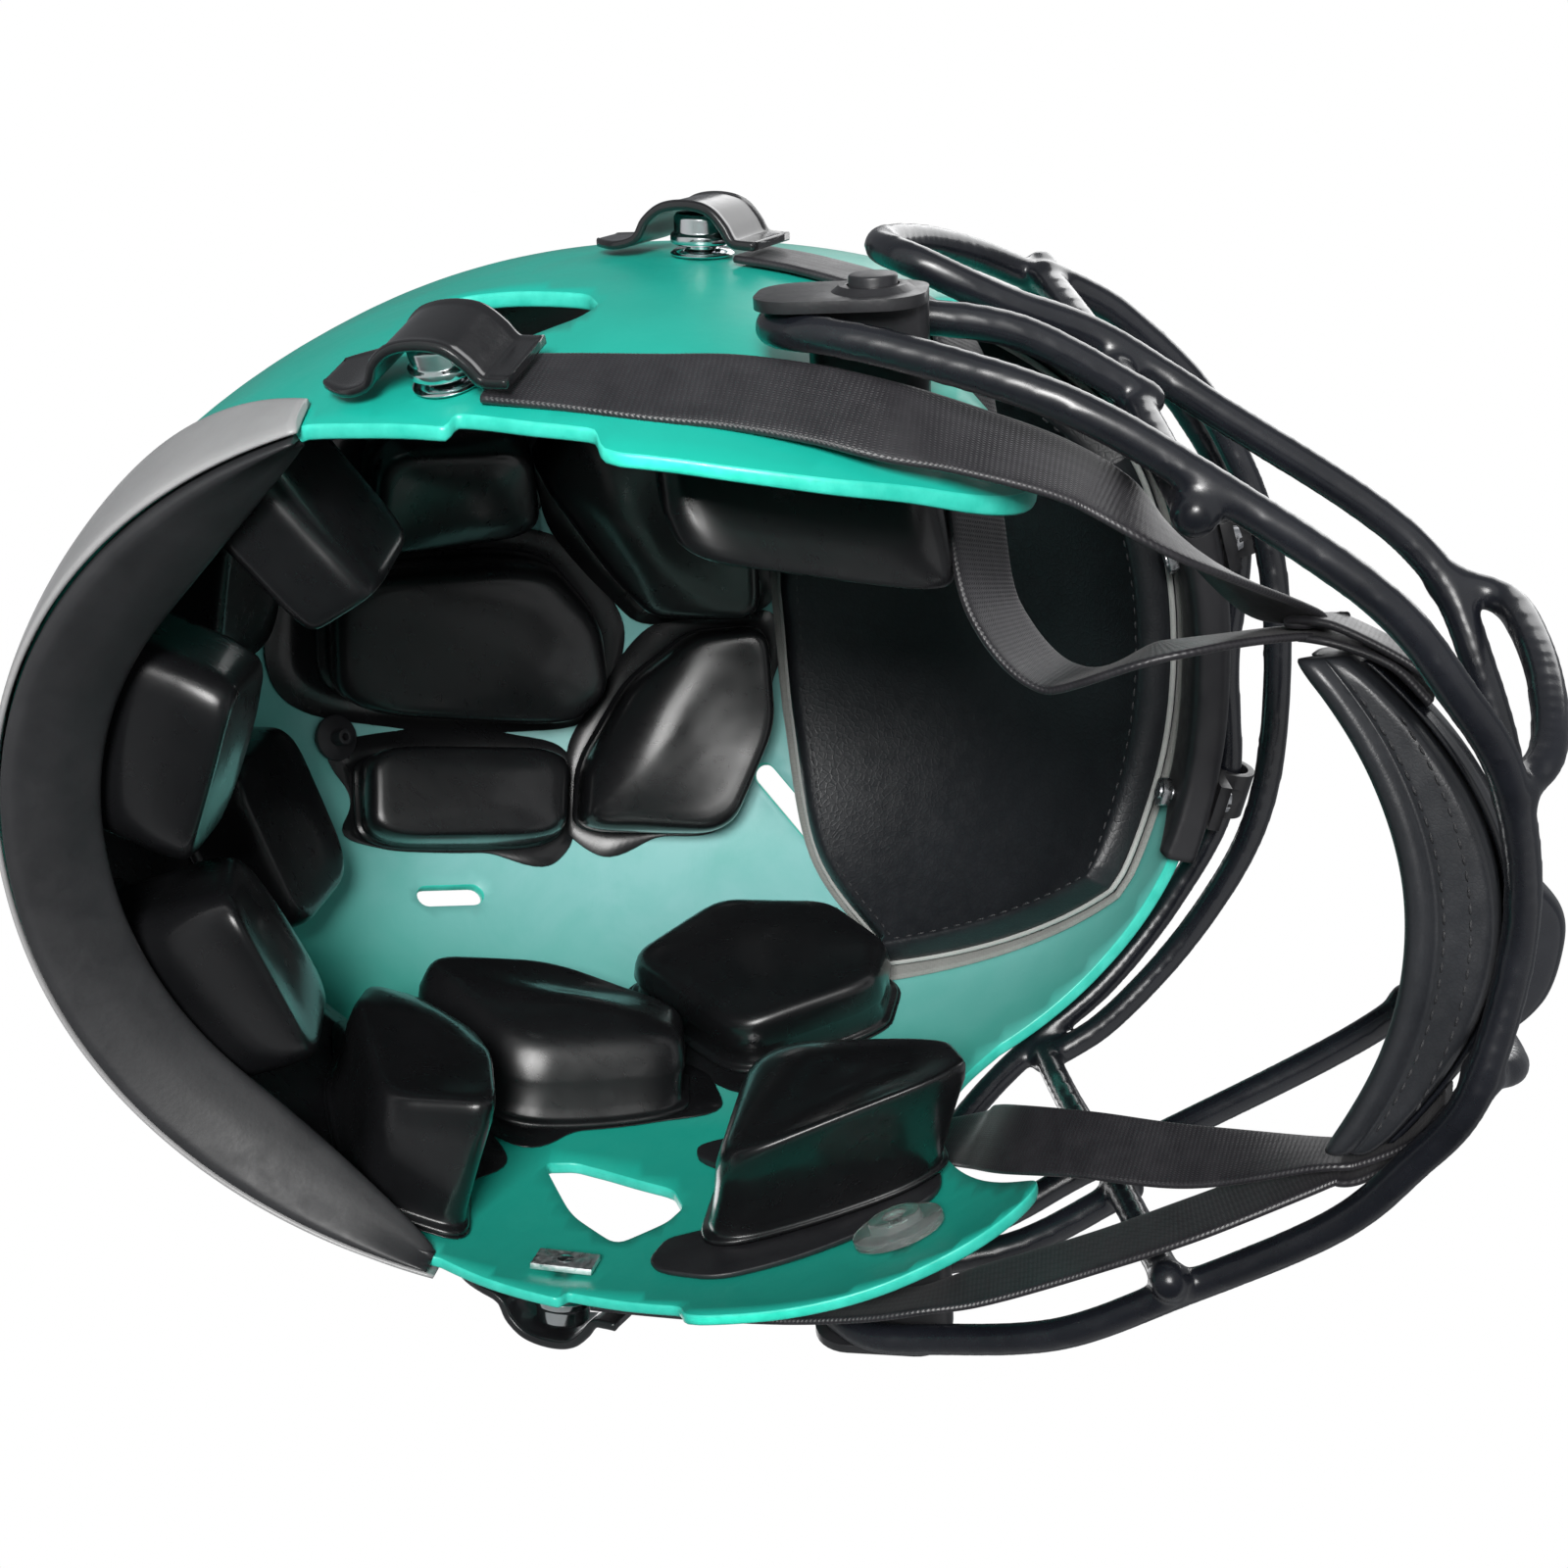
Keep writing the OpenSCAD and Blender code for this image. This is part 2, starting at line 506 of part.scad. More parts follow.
// Face mask
wire_r = wire_diameter / 2;
jaw_half = [[0, -176, 12.3], [36, -168.6, 4.3], [56, -156.5, 4.4], [74, -141.4, 5.8], [96, -109, 8.8],
    [112, -81, 10.4], [121, -50.3, 16.6], [124, -35, 20], [124, -25.6, 26.4], [124, -22, 33],
    [124, -24.5, 40.3], [124, -35, 46], [123, -44, 47.8], [118, -70.8, 51.7], [102, -98.6, 56.2]];
mouth_half = [[0, -182.7, 58], [36.5, -174, 65.3], [64, -158.4, 75.2], [96, -112.2, 75.8], [112, -87, 77],
    [121, -67.5, 69.5], [130, -49.6, 68.2], [132, -42, 75.7], [132, -39.3, 85.5], [131, -41.4, 97.7],
    [128, -48.2, 114.2], [122, -59, 131], [114, -72, 144]];
eye_half = [[0, -137.5, 141], [41, -134, 147.6], [78, -117.7, 151.4], [104, -94.2, 142.7], [116, -74.7, 137]];
brow_half = [[0, -126.2, 172], [42, -127.3, 170.2], [74, -112.6, 165], [98, -92.4, 153.6], [112, -73, 144]];
pillar_line = [[91, -106.3, 6.2], [95.6, -101.6, 28], [100.5, -96.5, 52], [105, -91.2, 75.3], [111, -82, 110],
    [115.5, -73.5, 146]];
upright_line = [[55, -166.5, 74], [51.5, -179, 71], [48, -181.5, 51], [43, -181, 32], [37, -178, 16],
    [33, -170.5, 7]];
function placed(P) = [for (p = P) at(p)];
function whole(P) = concat([for (i = [len(P) - 1:-1:1]) flip(at(P[i]), -1)], placed(P));
module jaw_bar() {
    color(wire_black) tube(whole(jaw_half), wire_r, 12);
}
module mouth_bar() {
    color(wire_black) tube(whole(mouth_half), wire_r, 12);
}
module eye_bar() {
    color(wire_black) tube(whole(eye_half), wire_r, 12);
}
module brow_bar() {
    color(wire_black) tube(whole(brow_half), wire_r, 12);
}
module pillar_left() {
    color(wire_black) tube(placed(pillar_line), wire_r, 12, 8, true);
}
module pillar_right() {
    color(wire_black) tube([for (p = placed(pillar_line)) flip(p, -1)], wire_r, 12, 8, true);
}
module upright_left() {
    color(wire_black) tube(placed(upright_line), wire_r, 9, 8, true);
}
module upright_right() {
    color(wire_black) tube([for (p = placed(upright_line)) flip(p, -1)], wire_r, 9, 8, true);
}

// Brow clips: a foot on the front bumper and an eye round the brow bar
brow_line = placed(brow_half);
bar_at_clip = seg(brow_line, 0, 0.88);
brow_n = outward(brow_bolt);
brow_x = unit(cross([0, 0, 1], brow_n));
brow_y = cross(brow_n, brow_x);
bar_y = (bar_at_clip - brow_bolt) * brow_y;
bar_h = (bar_at_clip - brow_bolt) * brow_n;
clip_foot = 4.1;
module brow_clips() {
    color(pad_black) for (s = [-1, 1]) {
        stand(flip(brow_bolt, s), outward(flip(brow_bolt, s))) difference() {
            union() {
                translate([-brow_clip_width / 2, -6.5, clip_foot]) cube([brow_clip_width, 13, 3.4]);
                translate([-brow_clip_width / 2, bar_y, bar_h]) rotate([0, 90, 0])
                    cylinder(r = wire_r + 3.1, h = brow_clip_width);
                translate([-brow_clip_width / 2, bar_y - wire_r - 3, clip_foot])
                    cube([brow_clip_width, wire_r + 3, bar_h - clip_foot]);
            }
            translate([-20, bar_y, bar_h]) rotate([0, 90, 0]) cylinder(r = wire_r + 1.1, h = 40);
            cylinder(r = hole_r, h = 40, center = true);
            translate([0, 0, clip_foot + 3.4]) cylinder(r = 4.1, h = 20);
        }
    }
}
module brow_screws() {
    inside = -shell_wall - 7.8;
    color(steel) for (s = [-1, 1]) {
        stand(flip(brow_bolt, s), outward(flip(brow_bolt, s))) difference() {
            union() {
                translate([0, 0, inside]) cylinder(r = screw_r, h = clip_foot + 3.6 - inside);
                translate([0, 0, clip_foot + 3.5]) cylinder(r1 = 3.8, r2 = 3.2, h = 2.4);
            }
            translate([-5, -0.6, clip_foot + 4.8]) cube([10, 1.2, 4]);
            translate([-0.6, -5, clip_foot + 4.8]) cube([1.2, 10, 4]);
        }
    }
}
module brow_nuts() {
    color(steel) for (s = [-1, 1]) {
        stand(flip(brow_bolt, s), outward(flip(brow_bolt, s)))
            translate([0, 0, -shell_wall - 7.4]) difference() {
                cylinder(r = 4.6, h = 2.6, $fn = 6);
                translate([0, 0, -1]) cylinder(r = screw_r + 0.05, h = 6);
            }
    }
}

// Side clips: a block between the bars of the lower loop, with a spring button
clip_x0 = side_pt(clip_seat, 0).x;
clip_in = clip_x0 + 0.8;
clip_under = 124 * kx - wire_r - 0.5;
clip_over = 124 * kx + wire_r + 0.5;
clip_top = clip_over + 2.4;
button_r = button_diameter / 2;
module rounded_block(x0, x1, y0, y1, z0, z1, r) {
    translate([x0, 0, 0]) rotate([90, 0, 90]) linear_extrude(x1 - x0) hull() {
        for (y = [y0 + r, y1 - r]) for (z = [z0 + r, z1 - r]) translate([y, z]) circle(r);
    }
}
module side_clip() {
    yc = clip_seat.x;
    zc = clip_seat.y;
    color(pad_black) difference() {
        union() {
            rounded_block(clip_x0 - 5, clip_over + 0.1, yc - 11, yc + 13.5, zc - 5.6, zc + 7, 5);
            rounded_block(clip_over, clip_top, yc - 11, yc + 24, zc - 12, zc + 12, 9);
            translate([clip_top, yc, zc]) rotate([0, 90, 0]) cylinder(r1 = 8.5, r2 = 7, h = 1.2);
        }
        stand(side_pt(clip_seat, -0.7), outward(side_pt(clip_seat, 0)))
            translate([-50, -50, -60]) cube([100, 100, 60]);
        translate([0, yc, zc]) rotate([0, 90, 0]) cylinder(r = hole_r, h = 300);
        translate([clip_in + 4, yc, zc]) rotate([0, 90, 0]) cylinder(r = button_r + 0.4, h = 60);
    }
}
module side_clip_left() {
    side_clip();
}
module side_clip_right() {
    mirror([1, 0, 0]) side_clip();
}
module release_button() {
    x0 = clip_in + 4 + button_travel + 0.8;
    color(pad_black) union() {
        translate([x0, clip_seat.x, clip_seat.y]) rotate([0, 90, 0])
            cylinder(r = button_r, h = clip_top + 1.2 + button_travel - x0);
        translate([clip_in + 2.4, clip_seat.x, clip_seat.y]) rotate([0, 90, 0])
            cylinder(r = screw_r, h = x0 + 1 - clip_in - 2.4);
    }
}
module release_button_left() {
    release_button();
}
module release_button_right() {
    mirror([1, 0, 0]) release_button();
}
module clip_retainers() {
    color([0.8, 0.85, 0.88, 0.5]) for (s = [-1, 1]) {
        p = side_pt(clip_seat, 0, s);
        stand(p, outward(p)) difference() {
            union() {
                translate([0, 0, -shell_wall - 4.3]) cylinder(r = 12, h = 2.4);
                translate([0, 0, -shell_wall - 6.7]) cylinder(r = 7, h = 3);
                translate([0, 0, -shell_wall - 2.4]) cylinder(r = screw_r - 0.7, h = shell_wall + 2);
            }
            translate([0, 0, -shell_wall - 8]) cylinder(r = 3, h = 3.2);
        }
    }
}

// Snap studs with their screws and inside nuts
stud_r = 4.6;
module stud(yz, side) {
    p = side_pt(yz, 0, side);
    stand(p, outward(p)) rotate_extrude() polygon([[0, -shell_wall - 2.6], [screw_r, -shell_wall - 2.6],
        [screw_r, 0.3], [snap_flange / 2 - 0.5, 0.3], [snap_flange / 2, 0.8], [snap_flange / 2 - 1, 1.5],
        [stud_r - 0.6, 1.9], [stud_r - 0.8, 4.2], [stud_r, 5.4], [stud_r - 0.6, 6.8], [0, 7.4]]);
}
module snap_studs() {
    color(steel) for (s = [-1, 1]) {
        stud(low_snap, s);
        stud(high_snap, s);
    }
}
module snap_nuts() {
    color(steel) for (s = [-1, 1]) {
        p = side_pt(low_snap, 0, s);
        q = side_pt(high_snap, 0, s);
        stand(p, outward(p)) difference() {
            translate([-8, -5, -shell_wall - 2.4]) cube([16, 10, 1.6]);
            translate([0, 0, -20]) cylinder(r = screw_r + 0.05, h = 30);
        }
        stand(q, outward(q)) difference() {
            translate([0, 0, -shell_wall - 2.4]) cylinder(r = 8, h = 1.6);
            translate([0, 0, -20]) cylinder(r = screw_r + 0.05, h = 30);
        }
    }
}

// Chin cup: an L shaped padded liner and a hard shell on its front
cup_x = unit([0.97, -0.084, -0.229]);
cup_y = square_to([0.05, 0.98, 0.19], cup_x);
cup_z = cross(cup_x, cup_y);
cup_heart = at([2.5, -154, 21]);
cup_half = cup_width / 2;
function cup_at(x, y, z) = cup_heart + cup_x * x + cup_y * y + cup_z * z;
function cup_rear(x) = 20.5 * pow(abs(x) / cup_half, 2);
function cup_deep(x) = 18.5 - 7.5 * pow(abs(x) / cup_half, 2);
function cup_tall(x) = cup_height - (cup_height - 25) * pow(abs(x) / cup_half, 2);
function cup_boss(x) = 10 * exp(-pow(abs(x - 14) / 18, 4));
cup_stations = [for (i = [-9:9]) sign(i) * (1 - pow(1 - abs(i) / 9, 1.25)) * cup_half];
module chin_cup_liner() {
    color(pad_black) loft([for (i = [0:len(cup_stations) - 1])
        let(x = cup_stations[i], r = cup_rear(x), f = r - cup_deep(x), h = cup_tall(x),
            e = i == 0 || i == 18 ? 0.55 : 1, m = [(r + f) / 2, h * 0.4])
        [for (q = [[f - 1, 4], [f + 1, 0.4], [r - 4, -0.6], [r - 1, 0.8], [r, 4], [r - 1.2, 7], [r - 4.4, 8.6],
            [f + 8.6, 9.5], [f + 7.4, h - 3], [f + 5, h], [f + 1.4, h - 0.6], [f - 1.2, h - 4], [f - 1.8, h * 0.5]])
            let(g = mix(m, q, e)) cup_at(x, g.x, g.y)]]);
}
module chin_cup_shell() {
    st = [for (i = [1:len(cup_stations) - 2]) cup_stations[i]];
    color(wire_black) loft([for (x = st)
        let(f = cup_rear(x) - cup_deep(x), h = cup_tall(x), b = cup_boss(x))
        [for (q = [[f - 1.5, 6], [f - 2.15, h * 0.5], [f - 1.6, h - 4.6], [f - 3.6, h - 5.2],
            [f - 4.4 - 0.55 * b, h * 0.74], [f - 4.6 - b, h * 0.58], [f - 4.4 - b, h * 0.34],
            [f - 3.8 - 0.6 * b, 9], [f - 3.2, 6.4]]) cup_at(x, q.x, q.y)]]);
}

// Straps: routes picked by hand, hugging the shell behind the clips
function cup_strap(x, lift) =
    let(f = cup_rear(x) - cup_deep(x)) cup_at(x, f - 5 - lift, 13);
function cup_turn(side, lift) =
    [cup_strap(side * cup_half * 0.8, lift), cup_strap(side * cup_half * 0.95, lift),
        cup_at(side * (cup_half + 1.6 + lift), cup_rear(cup_half) - 8, 13),
        cup_at(side * (cup_half + 3 + lift), cup_rear(cup_half) + 1, 13)];
function hug(yz, side, lift) = side_pt(side_at(yz), -lift, side);
strap_gap = 0.5 + strap_thickness / 2;
// side places of the lower strap with its extra distance from the shell, from front to rear
low_wrap = [[-47, 15, 6.5], [-33, 16, 4.6], [-16, 17.3, 2.6], [0, 18.2, 0.9], [17, 20.2, 0.2], [34, 22.2, 0.2]];
high_wrap = [[-38, 99], [-20, 106.6], [-5, 111.8]];
function lower_route(side) =
    concat(cup_turn(side, strap_gap + strap_thickness + 2),
        side > 0 ? placed([[82, -112, 17.5], [94.5, -87, 18], [103.5, -63, 16.5]])
            : placed([[-80.5, -104, 22.5], [-95, -84, 20], [-103.5, -62, 17.5]]),
        [for (q = low_wrap) hug(q, side, strap_gap + q.z)]);
function lower_facing(side) =
    [-cup_y, unit(cup_x * side * 0.45 - cup_y), unit(cup_x * side - cup_y * 0.25), cup_x * side,
        [side * 0.9, -0.36, -0.12], [side * 0.93, -0.3, -0.15], [side * 0.95, -0.22, -0.18],
        for (q = low_wrap) outward(side_pt(side_at(q), 0, side))];
function upper_route(side) =
    concat(cup_turn(side, strap_gap),
        side > 0 ? placed([[74, -112, 31], [78, -87, 40], [87, -69, 54], [101, -60, 75], [112.5, -54, 90]])
            : placed([[-52, -103, 37], [-43, -81, 43], [-55, -66, 53], [-74, -61, 64],
                [-96, -59, 77], [-112.5, -54, 90]]),
        [for (q = high_wrap) hug(q, side, strap_gap + 0.2)]);
function upper_facing(side) =
    concat([-cup_y, unit(cup_x * side * 0.45 - cup_y), unit(cup_x * side - cup_y * 0.25), cup_x * side],
        side > 0 ? [[0.9, -0.3, 0.2], [0.85, -0.5, 0.25], [0.65, -0.75, 0.2], [0.6, -0.8, 0.1], [0.8, -0.6, 0.05]]
            : [[-0.95, 0.05, 0.2], [-0.85, -0.5, 0.25], [-0.35, -0.9, 0.2], [-0.3, -0.95, 0.15],
                [-0.6, -0.8, 0.1], [-0.8, -0.6, 0.05]],
        [for (q = high_wrap) outward(side_pt(side_at(q), 0, side))]);
module lower_strap(side) {
    color(strap_grey) ribbon(lower_route(side), lower_facing(side), strap_width, strap_thickness);
}
module upper_strap(side) {
    color(strap_grey) ribbon(upper_route(side), upper_facing(side), strap_width, strap_thickness);
}
module lower_strap_left() {
    lower_strap(1);
}
module lower_strap_right() {
    lower_strap(-1);
}
module upper_strap_left() {
    upper_strap(1);
}
module upper_strap_right() {
    upper_strap(-1);
}

// Buckles: an arched band over each snap with a chrome socket under it
arch_t = 2.2;
low_dir = [0, -1, -0.2];
high_dir = [0, -1, -0.32];
module snap_frame(yz, dir, side) {
    p = side_pt(yz, 0, side);
    n = outward(p);
    f = square_to(dir, n);
    multmatrix([[f.x, cross(n, f).x, n.x, p.x], [f.y, cross(n, f).y, n.y, p.y], [f.z, cross(n, f).z, n.z, p.z],
        [0, 0, 0, 1]]) children();
}
arch_line = [[-27, 2], [-19, 2.4], [-13.5, 4.4], [-10.6, 8.8], [-6, 12], [0.5, 13], [6.5, 12], [10.4, 8.6],
    [12.8, 5.2], [16, 4.7], [19, 4.7]];
module buckle() {
    w = strap_width + 1;
    Q = curve([for (q = arch_line) [q.x, 0, q.y]], 2);
    rings = [for (i = [0:len(Q) - 1])
        let(d = heading(Q, i), s = [0, 1, 0], f = cross(d, s), k = i < 3 ? 0.55 + 0.15 * i : 1)
        [Q[i] + s * k * w / 2 + f * arch_t / 2, Q[i] + s * k * w / 2 - f * arch_t / 2,
            Q[i] - s * k * w / 2 - f * arch_t / 2, Q[i] - s * k * w / 2 + f * arch_t / 2]];
    color(pad_black) turned_loft(rings);
}
module socket() {
    color(steel) rotate_extrude() polygon([[stud_r + 0.5, 3], [7.2, 3], [7.8, 3.6], [7.8, 5.2], [6.9, 6],
        [6.9, 9.4], [6.2, 10.4], [0, 11.4], [0, 8.2], [stud_r + 0.5, 8.2]]);
}
module lower_buckle_left() {
    snap_frame(low_snap, low_dir, 1) buckle();
}
module lower_buckle_right() {
    snap_frame(low_snap, low_dir, -1) buckle();
}
module upper_buckle_left() {
    snap_frame(high_snap, high_dir, 1) buckle();
}
module upper_buckle_right() {
    snap_frame(high_snap, high_dir, -1) buckle();
}
module lower_socket_left() {
    snap_frame(low_snap, low_dir, 1) socket();
}
module lower_socket_right() {
    snap_frame(low_snap, low_dir, -1) socket();
}
module upper_socket_left() {
    snap_frame(high_snap, high_dir, 1) socket();
}
module upper_socket_right() {
    snap_frame(high_snap, high_dir, -1) socket();
}

shell();
rear_bumper();
rear_band();
front_bumper();
brow_pad();
brow_pad_backing();
crown_rear_pad();
crown_block_pad_left();
crown_block_pad_right();
crown_wing_pad_left();
crown_wing_pad_right();
upper_side_pad_left();
upper_side_pad_right();
side_pad_left();
side_pad_right();
rear_upper_pad_left();
rear_upper_pad_right();
rear_side_pad_left();
rear_side_pad_right();
nape_pad_left();
nape_pad_right();
jaw_pad_left();
jaw_pad_right();
jaw_plate_left();
jaw_plate_right();
valve_left();
valve_right();
jaw_bar();
mouth_bar();
eye_bar();
brow_bar();
pillar_left();
pillar_right();
upright_left();
upright_right();
brow_clips();
brow_screws();
brow_nuts();
side_clip_left();
side_clip_right();
release_button_left();
release_button_right();
clip_retainers();
snap_studs();
snap_nuts();
chin_cup_shell();
chin_cup_liner();
lower_strap_left();
lower_strap_right();
upper_strap_left();
upper_strap_right();
lower_buckle_left();
lower_buckle_right();
upper_buckle_left();
upper_buckle_right();
lower_socket_left();
lower_socket_right();
upper_socket_left();
upper_socket_right();
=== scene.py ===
# Football helmet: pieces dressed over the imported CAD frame. Lengths in the helpers are mm.
import bpy
import bmesh
import math
import numpy as np
from mathutils import Vector, Matrix
from mathutils.geometry import delaunay_2d_cdt
from mathutils.kdtree import KDTree

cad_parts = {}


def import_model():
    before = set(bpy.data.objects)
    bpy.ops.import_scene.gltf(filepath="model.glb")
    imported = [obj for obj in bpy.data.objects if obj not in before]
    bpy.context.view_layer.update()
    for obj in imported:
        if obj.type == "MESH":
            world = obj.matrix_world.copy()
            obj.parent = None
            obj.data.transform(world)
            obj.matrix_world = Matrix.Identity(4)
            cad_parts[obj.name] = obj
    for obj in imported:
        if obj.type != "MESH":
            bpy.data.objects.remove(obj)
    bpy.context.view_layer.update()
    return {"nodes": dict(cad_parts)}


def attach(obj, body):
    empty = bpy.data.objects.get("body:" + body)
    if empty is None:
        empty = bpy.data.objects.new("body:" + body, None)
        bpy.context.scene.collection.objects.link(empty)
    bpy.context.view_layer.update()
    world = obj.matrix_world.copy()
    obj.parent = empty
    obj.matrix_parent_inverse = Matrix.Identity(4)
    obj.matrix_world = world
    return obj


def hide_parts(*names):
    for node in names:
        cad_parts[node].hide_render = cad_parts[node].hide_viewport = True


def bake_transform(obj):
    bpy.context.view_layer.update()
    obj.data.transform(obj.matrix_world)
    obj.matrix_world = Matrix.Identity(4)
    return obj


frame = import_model()
NODES = frame["nodes"]
MM = 0.001

# Shell surface, the same formula as the part's source
MID, DRAWN_MID = 33.84, 30.0    # middle of the shell along Y, here and where the points below were drawn
HW, FB, RB = 127.0, 155.0, 152.5    # half width, front half length, rear half length
WZ, UH, DH = 122.0, 130.0, 194.0    # height of the widest line, height above it, depth below it
LP, FP, RP = 2.4, 2.35, 2.08    # powers of the side, front and rear curves
WALL, STRAP_W, STRAP_T, WIRE = 3.6, 19.0, 1.9, 3.75    # shell wall, straps, radius of the mask wire
BOLT_R, SLOT_R = 2.9, 4.0    # bores for bolts and snaps, half width of the vent slots
BOTH = (("_left", 1), ("_right", -1))


def A(*v):
    return np.array(v, float)


def at(p):
    # moves drawn points to where the shell is
    p = np.asarray(p, float).copy()
    p[..., 1] += MID - DRAWN_MID
    return p


def shape(P, off):
    pp = np.where(P[..., 1] < MID, FP, RP)
    b = np.where(P[..., 1] < MID, FB, RB) - off
    h = (np.abs(P[..., 0] / (HW - off)) ** pp + np.abs((P[..., 1] - MID) / b) ** pp) ** (1 / pp)
    c = np.where(P[..., 2] > WZ, UH - off, DH)
    return h ** LP + (np.abs(P[..., 2] - WZ) / c) ** LP - 1


def hit(p, d, off, hi=170.0):
    # from p, inside, along d to the face that lies off under the outer one
    p, d = np.broadcast_arrays(np.asarray(p, float), np.asarray(d, float))
    lo = np.zeros(p.shape[:-1])
    up = np.full(p.shape[:-1], hi)
    for _ in range(26):
        m = (lo + up) / 2
        inside = shape(p + d * m[..., None], off) < 0
        lo = np.where(inside, m, lo)
        up = np.where(inside, up, m)
    return p + d * lo[..., None]


def turn(n):
    # angles of n points round a circle
    return np.linspace(0, 2 * np.pi, n, endpoint=False)


def rise(e):
    # quarter circle, steep at 0 and level from 1 on
    return np.sqrt(np.clip(1 - (1 - np.clip(e, 0, 1)) ** 2, 0, 1))


def crowded(n, power):
    # -1 to 1 in n steps that get smaller towards both ends
    t = np.linspace(-1, 1, n + 1)
    return np.sign(t) * (1 - (1 - np.abs(t)) ** power)


def unit(v):
    v = np.asarray(v, float)
    return v / np.maximum(np.linalg.norm(v, axis=-1, keepdims=True), 1e-9)


def outward(P):
    P = np.asarray(P, float)
    e = 0.05
    return unit(np.stack([shape(P + e * k, 0) - shape(P - e * k, 0) for k in np.eye(3)], -1))


def onto(p, n, off):
    # p moved along n onto the face that lies off under the outer one
    return hit(p - n * 14, n, off, 40.0)


def side_pt(yz, off, side):
    yz = np.asarray(yz, float)
    p = np.stack([np.zeros(yz.shape[:-1]), yz[..., 0] + MID - DRAWN_MID, yz[..., 1]], -1)
    q = hit(p, A(1, 0, 0), off)
    q[..., 0] *= side
    return q


def plan_radius(az, off):
    dx, dy = np.abs(np.sin(az)), -np.cos(az)
    pp = np.where(dy < 0, FP, RP)
    b = np.where(dy < 0, FB, RB) - off
    return ((dx / (HW - off)) ** pp + (np.abs(dy) / b) ** pp) ** (-1 / pp)


def wall_pt(az, z, off):
    az, z = np.radians(az), np.asarray(z, float)
    off = np.asarray(off, float)
    k = np.abs(z - WZ) / np.where(z > WZ, UH - off, DH)
    r = plan_radius(az, off) * np.maximum(1 - k ** LP, 0) ** (1 / LP)
    return np.stack([np.sin(az) * r, MID - np.cos(az) * r, z + 0 * r], -1)


def to_uv(P, off):
    # flat map of the shell: angle round the head and distance from the crown
    k = np.clip(np.abs(P[..., 2] - WZ) / np.where(P[..., 2] > WZ, UH - off, DH), 0, 1)
    th = np.degrees(np.arcsin(np.clip(k ** (LP / 2), 0, 1))) * np.sign(P[..., 2] - WZ)
    az = np.arctan2(P[..., 0], -(P[..., 1] - MID))
    rho = (90 - th) / 90
    return np.stack([rho * np.sin(az), -rho * np.cos(az)], -1)


def from_uv(U, off):
    rho = np.hypot(U[..., 0], U[..., 1])
    az = np.arctan2(U[..., 0], -U[..., 1])
    th = np.radians(90 - 90 * rho)
    c = np.where(th > 0, UH - off, DH)
    z = WZ + np.sign(th) * c * np.abs(np.sin(th)) ** (2 / LP)
    r = plan_radius(az, off) * np.maximum(np.cos(th), 0) ** (2 / LP)
    return np.stack([np.sin(az) * r, MID - np.cos(az) * r, z], -1)


# Curves and lofts
def spline(P, n):
    P = np.asarray(P, float)
    m = len(P)
    out = []
    for i in range(m - 1):
        b, c = P[i], P[i + 1]
        p0 = P[i - 1] if i > 0 else 2 * b - c
        p3 = P[i + 2] if i + 2 < m else 2 * c - b
        t = (np.arange(n) / n)[:, None]
        out.append(0.5 * (2 * b + (c - p0) * t + (2 * p0 - 5 * b + 4 * c - p3) * t * t
                          + (3 * b - p0 - 3 * c + p3) * t ** 3))
    return np.vstack(out + [P[-1:]])


def run(P):
    # length along a line up to each of its points
    return np.r_[0, np.cumsum(np.linalg.norm(np.diff(P, axis=0), axis=1))]


def sample(P, d, s):
    return np.stack([np.interp(s, d, P[:, k]) for k in range(P.shape[1])], -1)


def even(P, step):
    # points a steady step apart along a line
    d = run(P)
    n = max(2, int(round(d[-1] / step)))
    return sample(P, d, np.linspace(0, d[-1], n + 1))


def headings(Q):
    d = np.empty_like(Q)
    d[1:-1] = Q[2:] - Q[:-2]
    d[0] = Q[1] - Q[0]
    d[-1] = Q[-1] - Q[-2]
    return unit(d)


def square_to(v, t):
    return unit(v - np.sum(v * t, -1, keepdims=True) * t)


def bend(p, c, q, t):
    return (p * (1 - t) + c * t) * (1 - t) + (c * (1 - t) + q * t) * t


def rounded(C, f, n):
    # f is the rounded share of each edge, n the points of each corner
    C = np.asarray(C, float)
    m = len(C)
    f = np.broadcast_to(f, (m,))
    out = []
    for i in range(m):
        p = C[i] + (C[i - 1] - C[i]) * f[i]
        q = C[i] + (C[(i + 1) % m] - C[i]) * f[i]
        out += [bend(p, C[i], q, t) for t in np.linspace(0, 1, n)]
    return np.array(out)


def closed_even(P, n):
    Q = np.vstack([P, P[:1]])
    d = run(Q)
    return sample(Q, d, np.linspace(0, d[-1], n + 1)[:-1])


def show(o):
    bpy.context.scene.collection.objects.link(o)
    return o


def soften(m):
    m.polygons.foreach_set("use_smooth", [True] * len(m.polygons))


def mend(m, merge=None):
    # joins doubled points closer than merge, in m, and turns all faces outward
    b = bmesh.new()
    b.from_mesh(m)
    if merge:
        bmesh.ops.remove_doubles(b, verts=b.verts, dist=merge)
    bmesh.ops.recalc_face_normals(b, faces=b.faces)
    b.to_mesh(m)
    b.free()


def make(name, V, F, fix=True):
    m = bpy.data.meshes.new(name)
    m.from_pydata([tuple(v) for v in np.asarray(V) * MM], [], [tuple(int(i) for i in f) for f in F])
    m.validate()
    if fix:
        mend(m, 1e-6)
    soften(m)
    return show(bpy.data.objects.new(name, m))


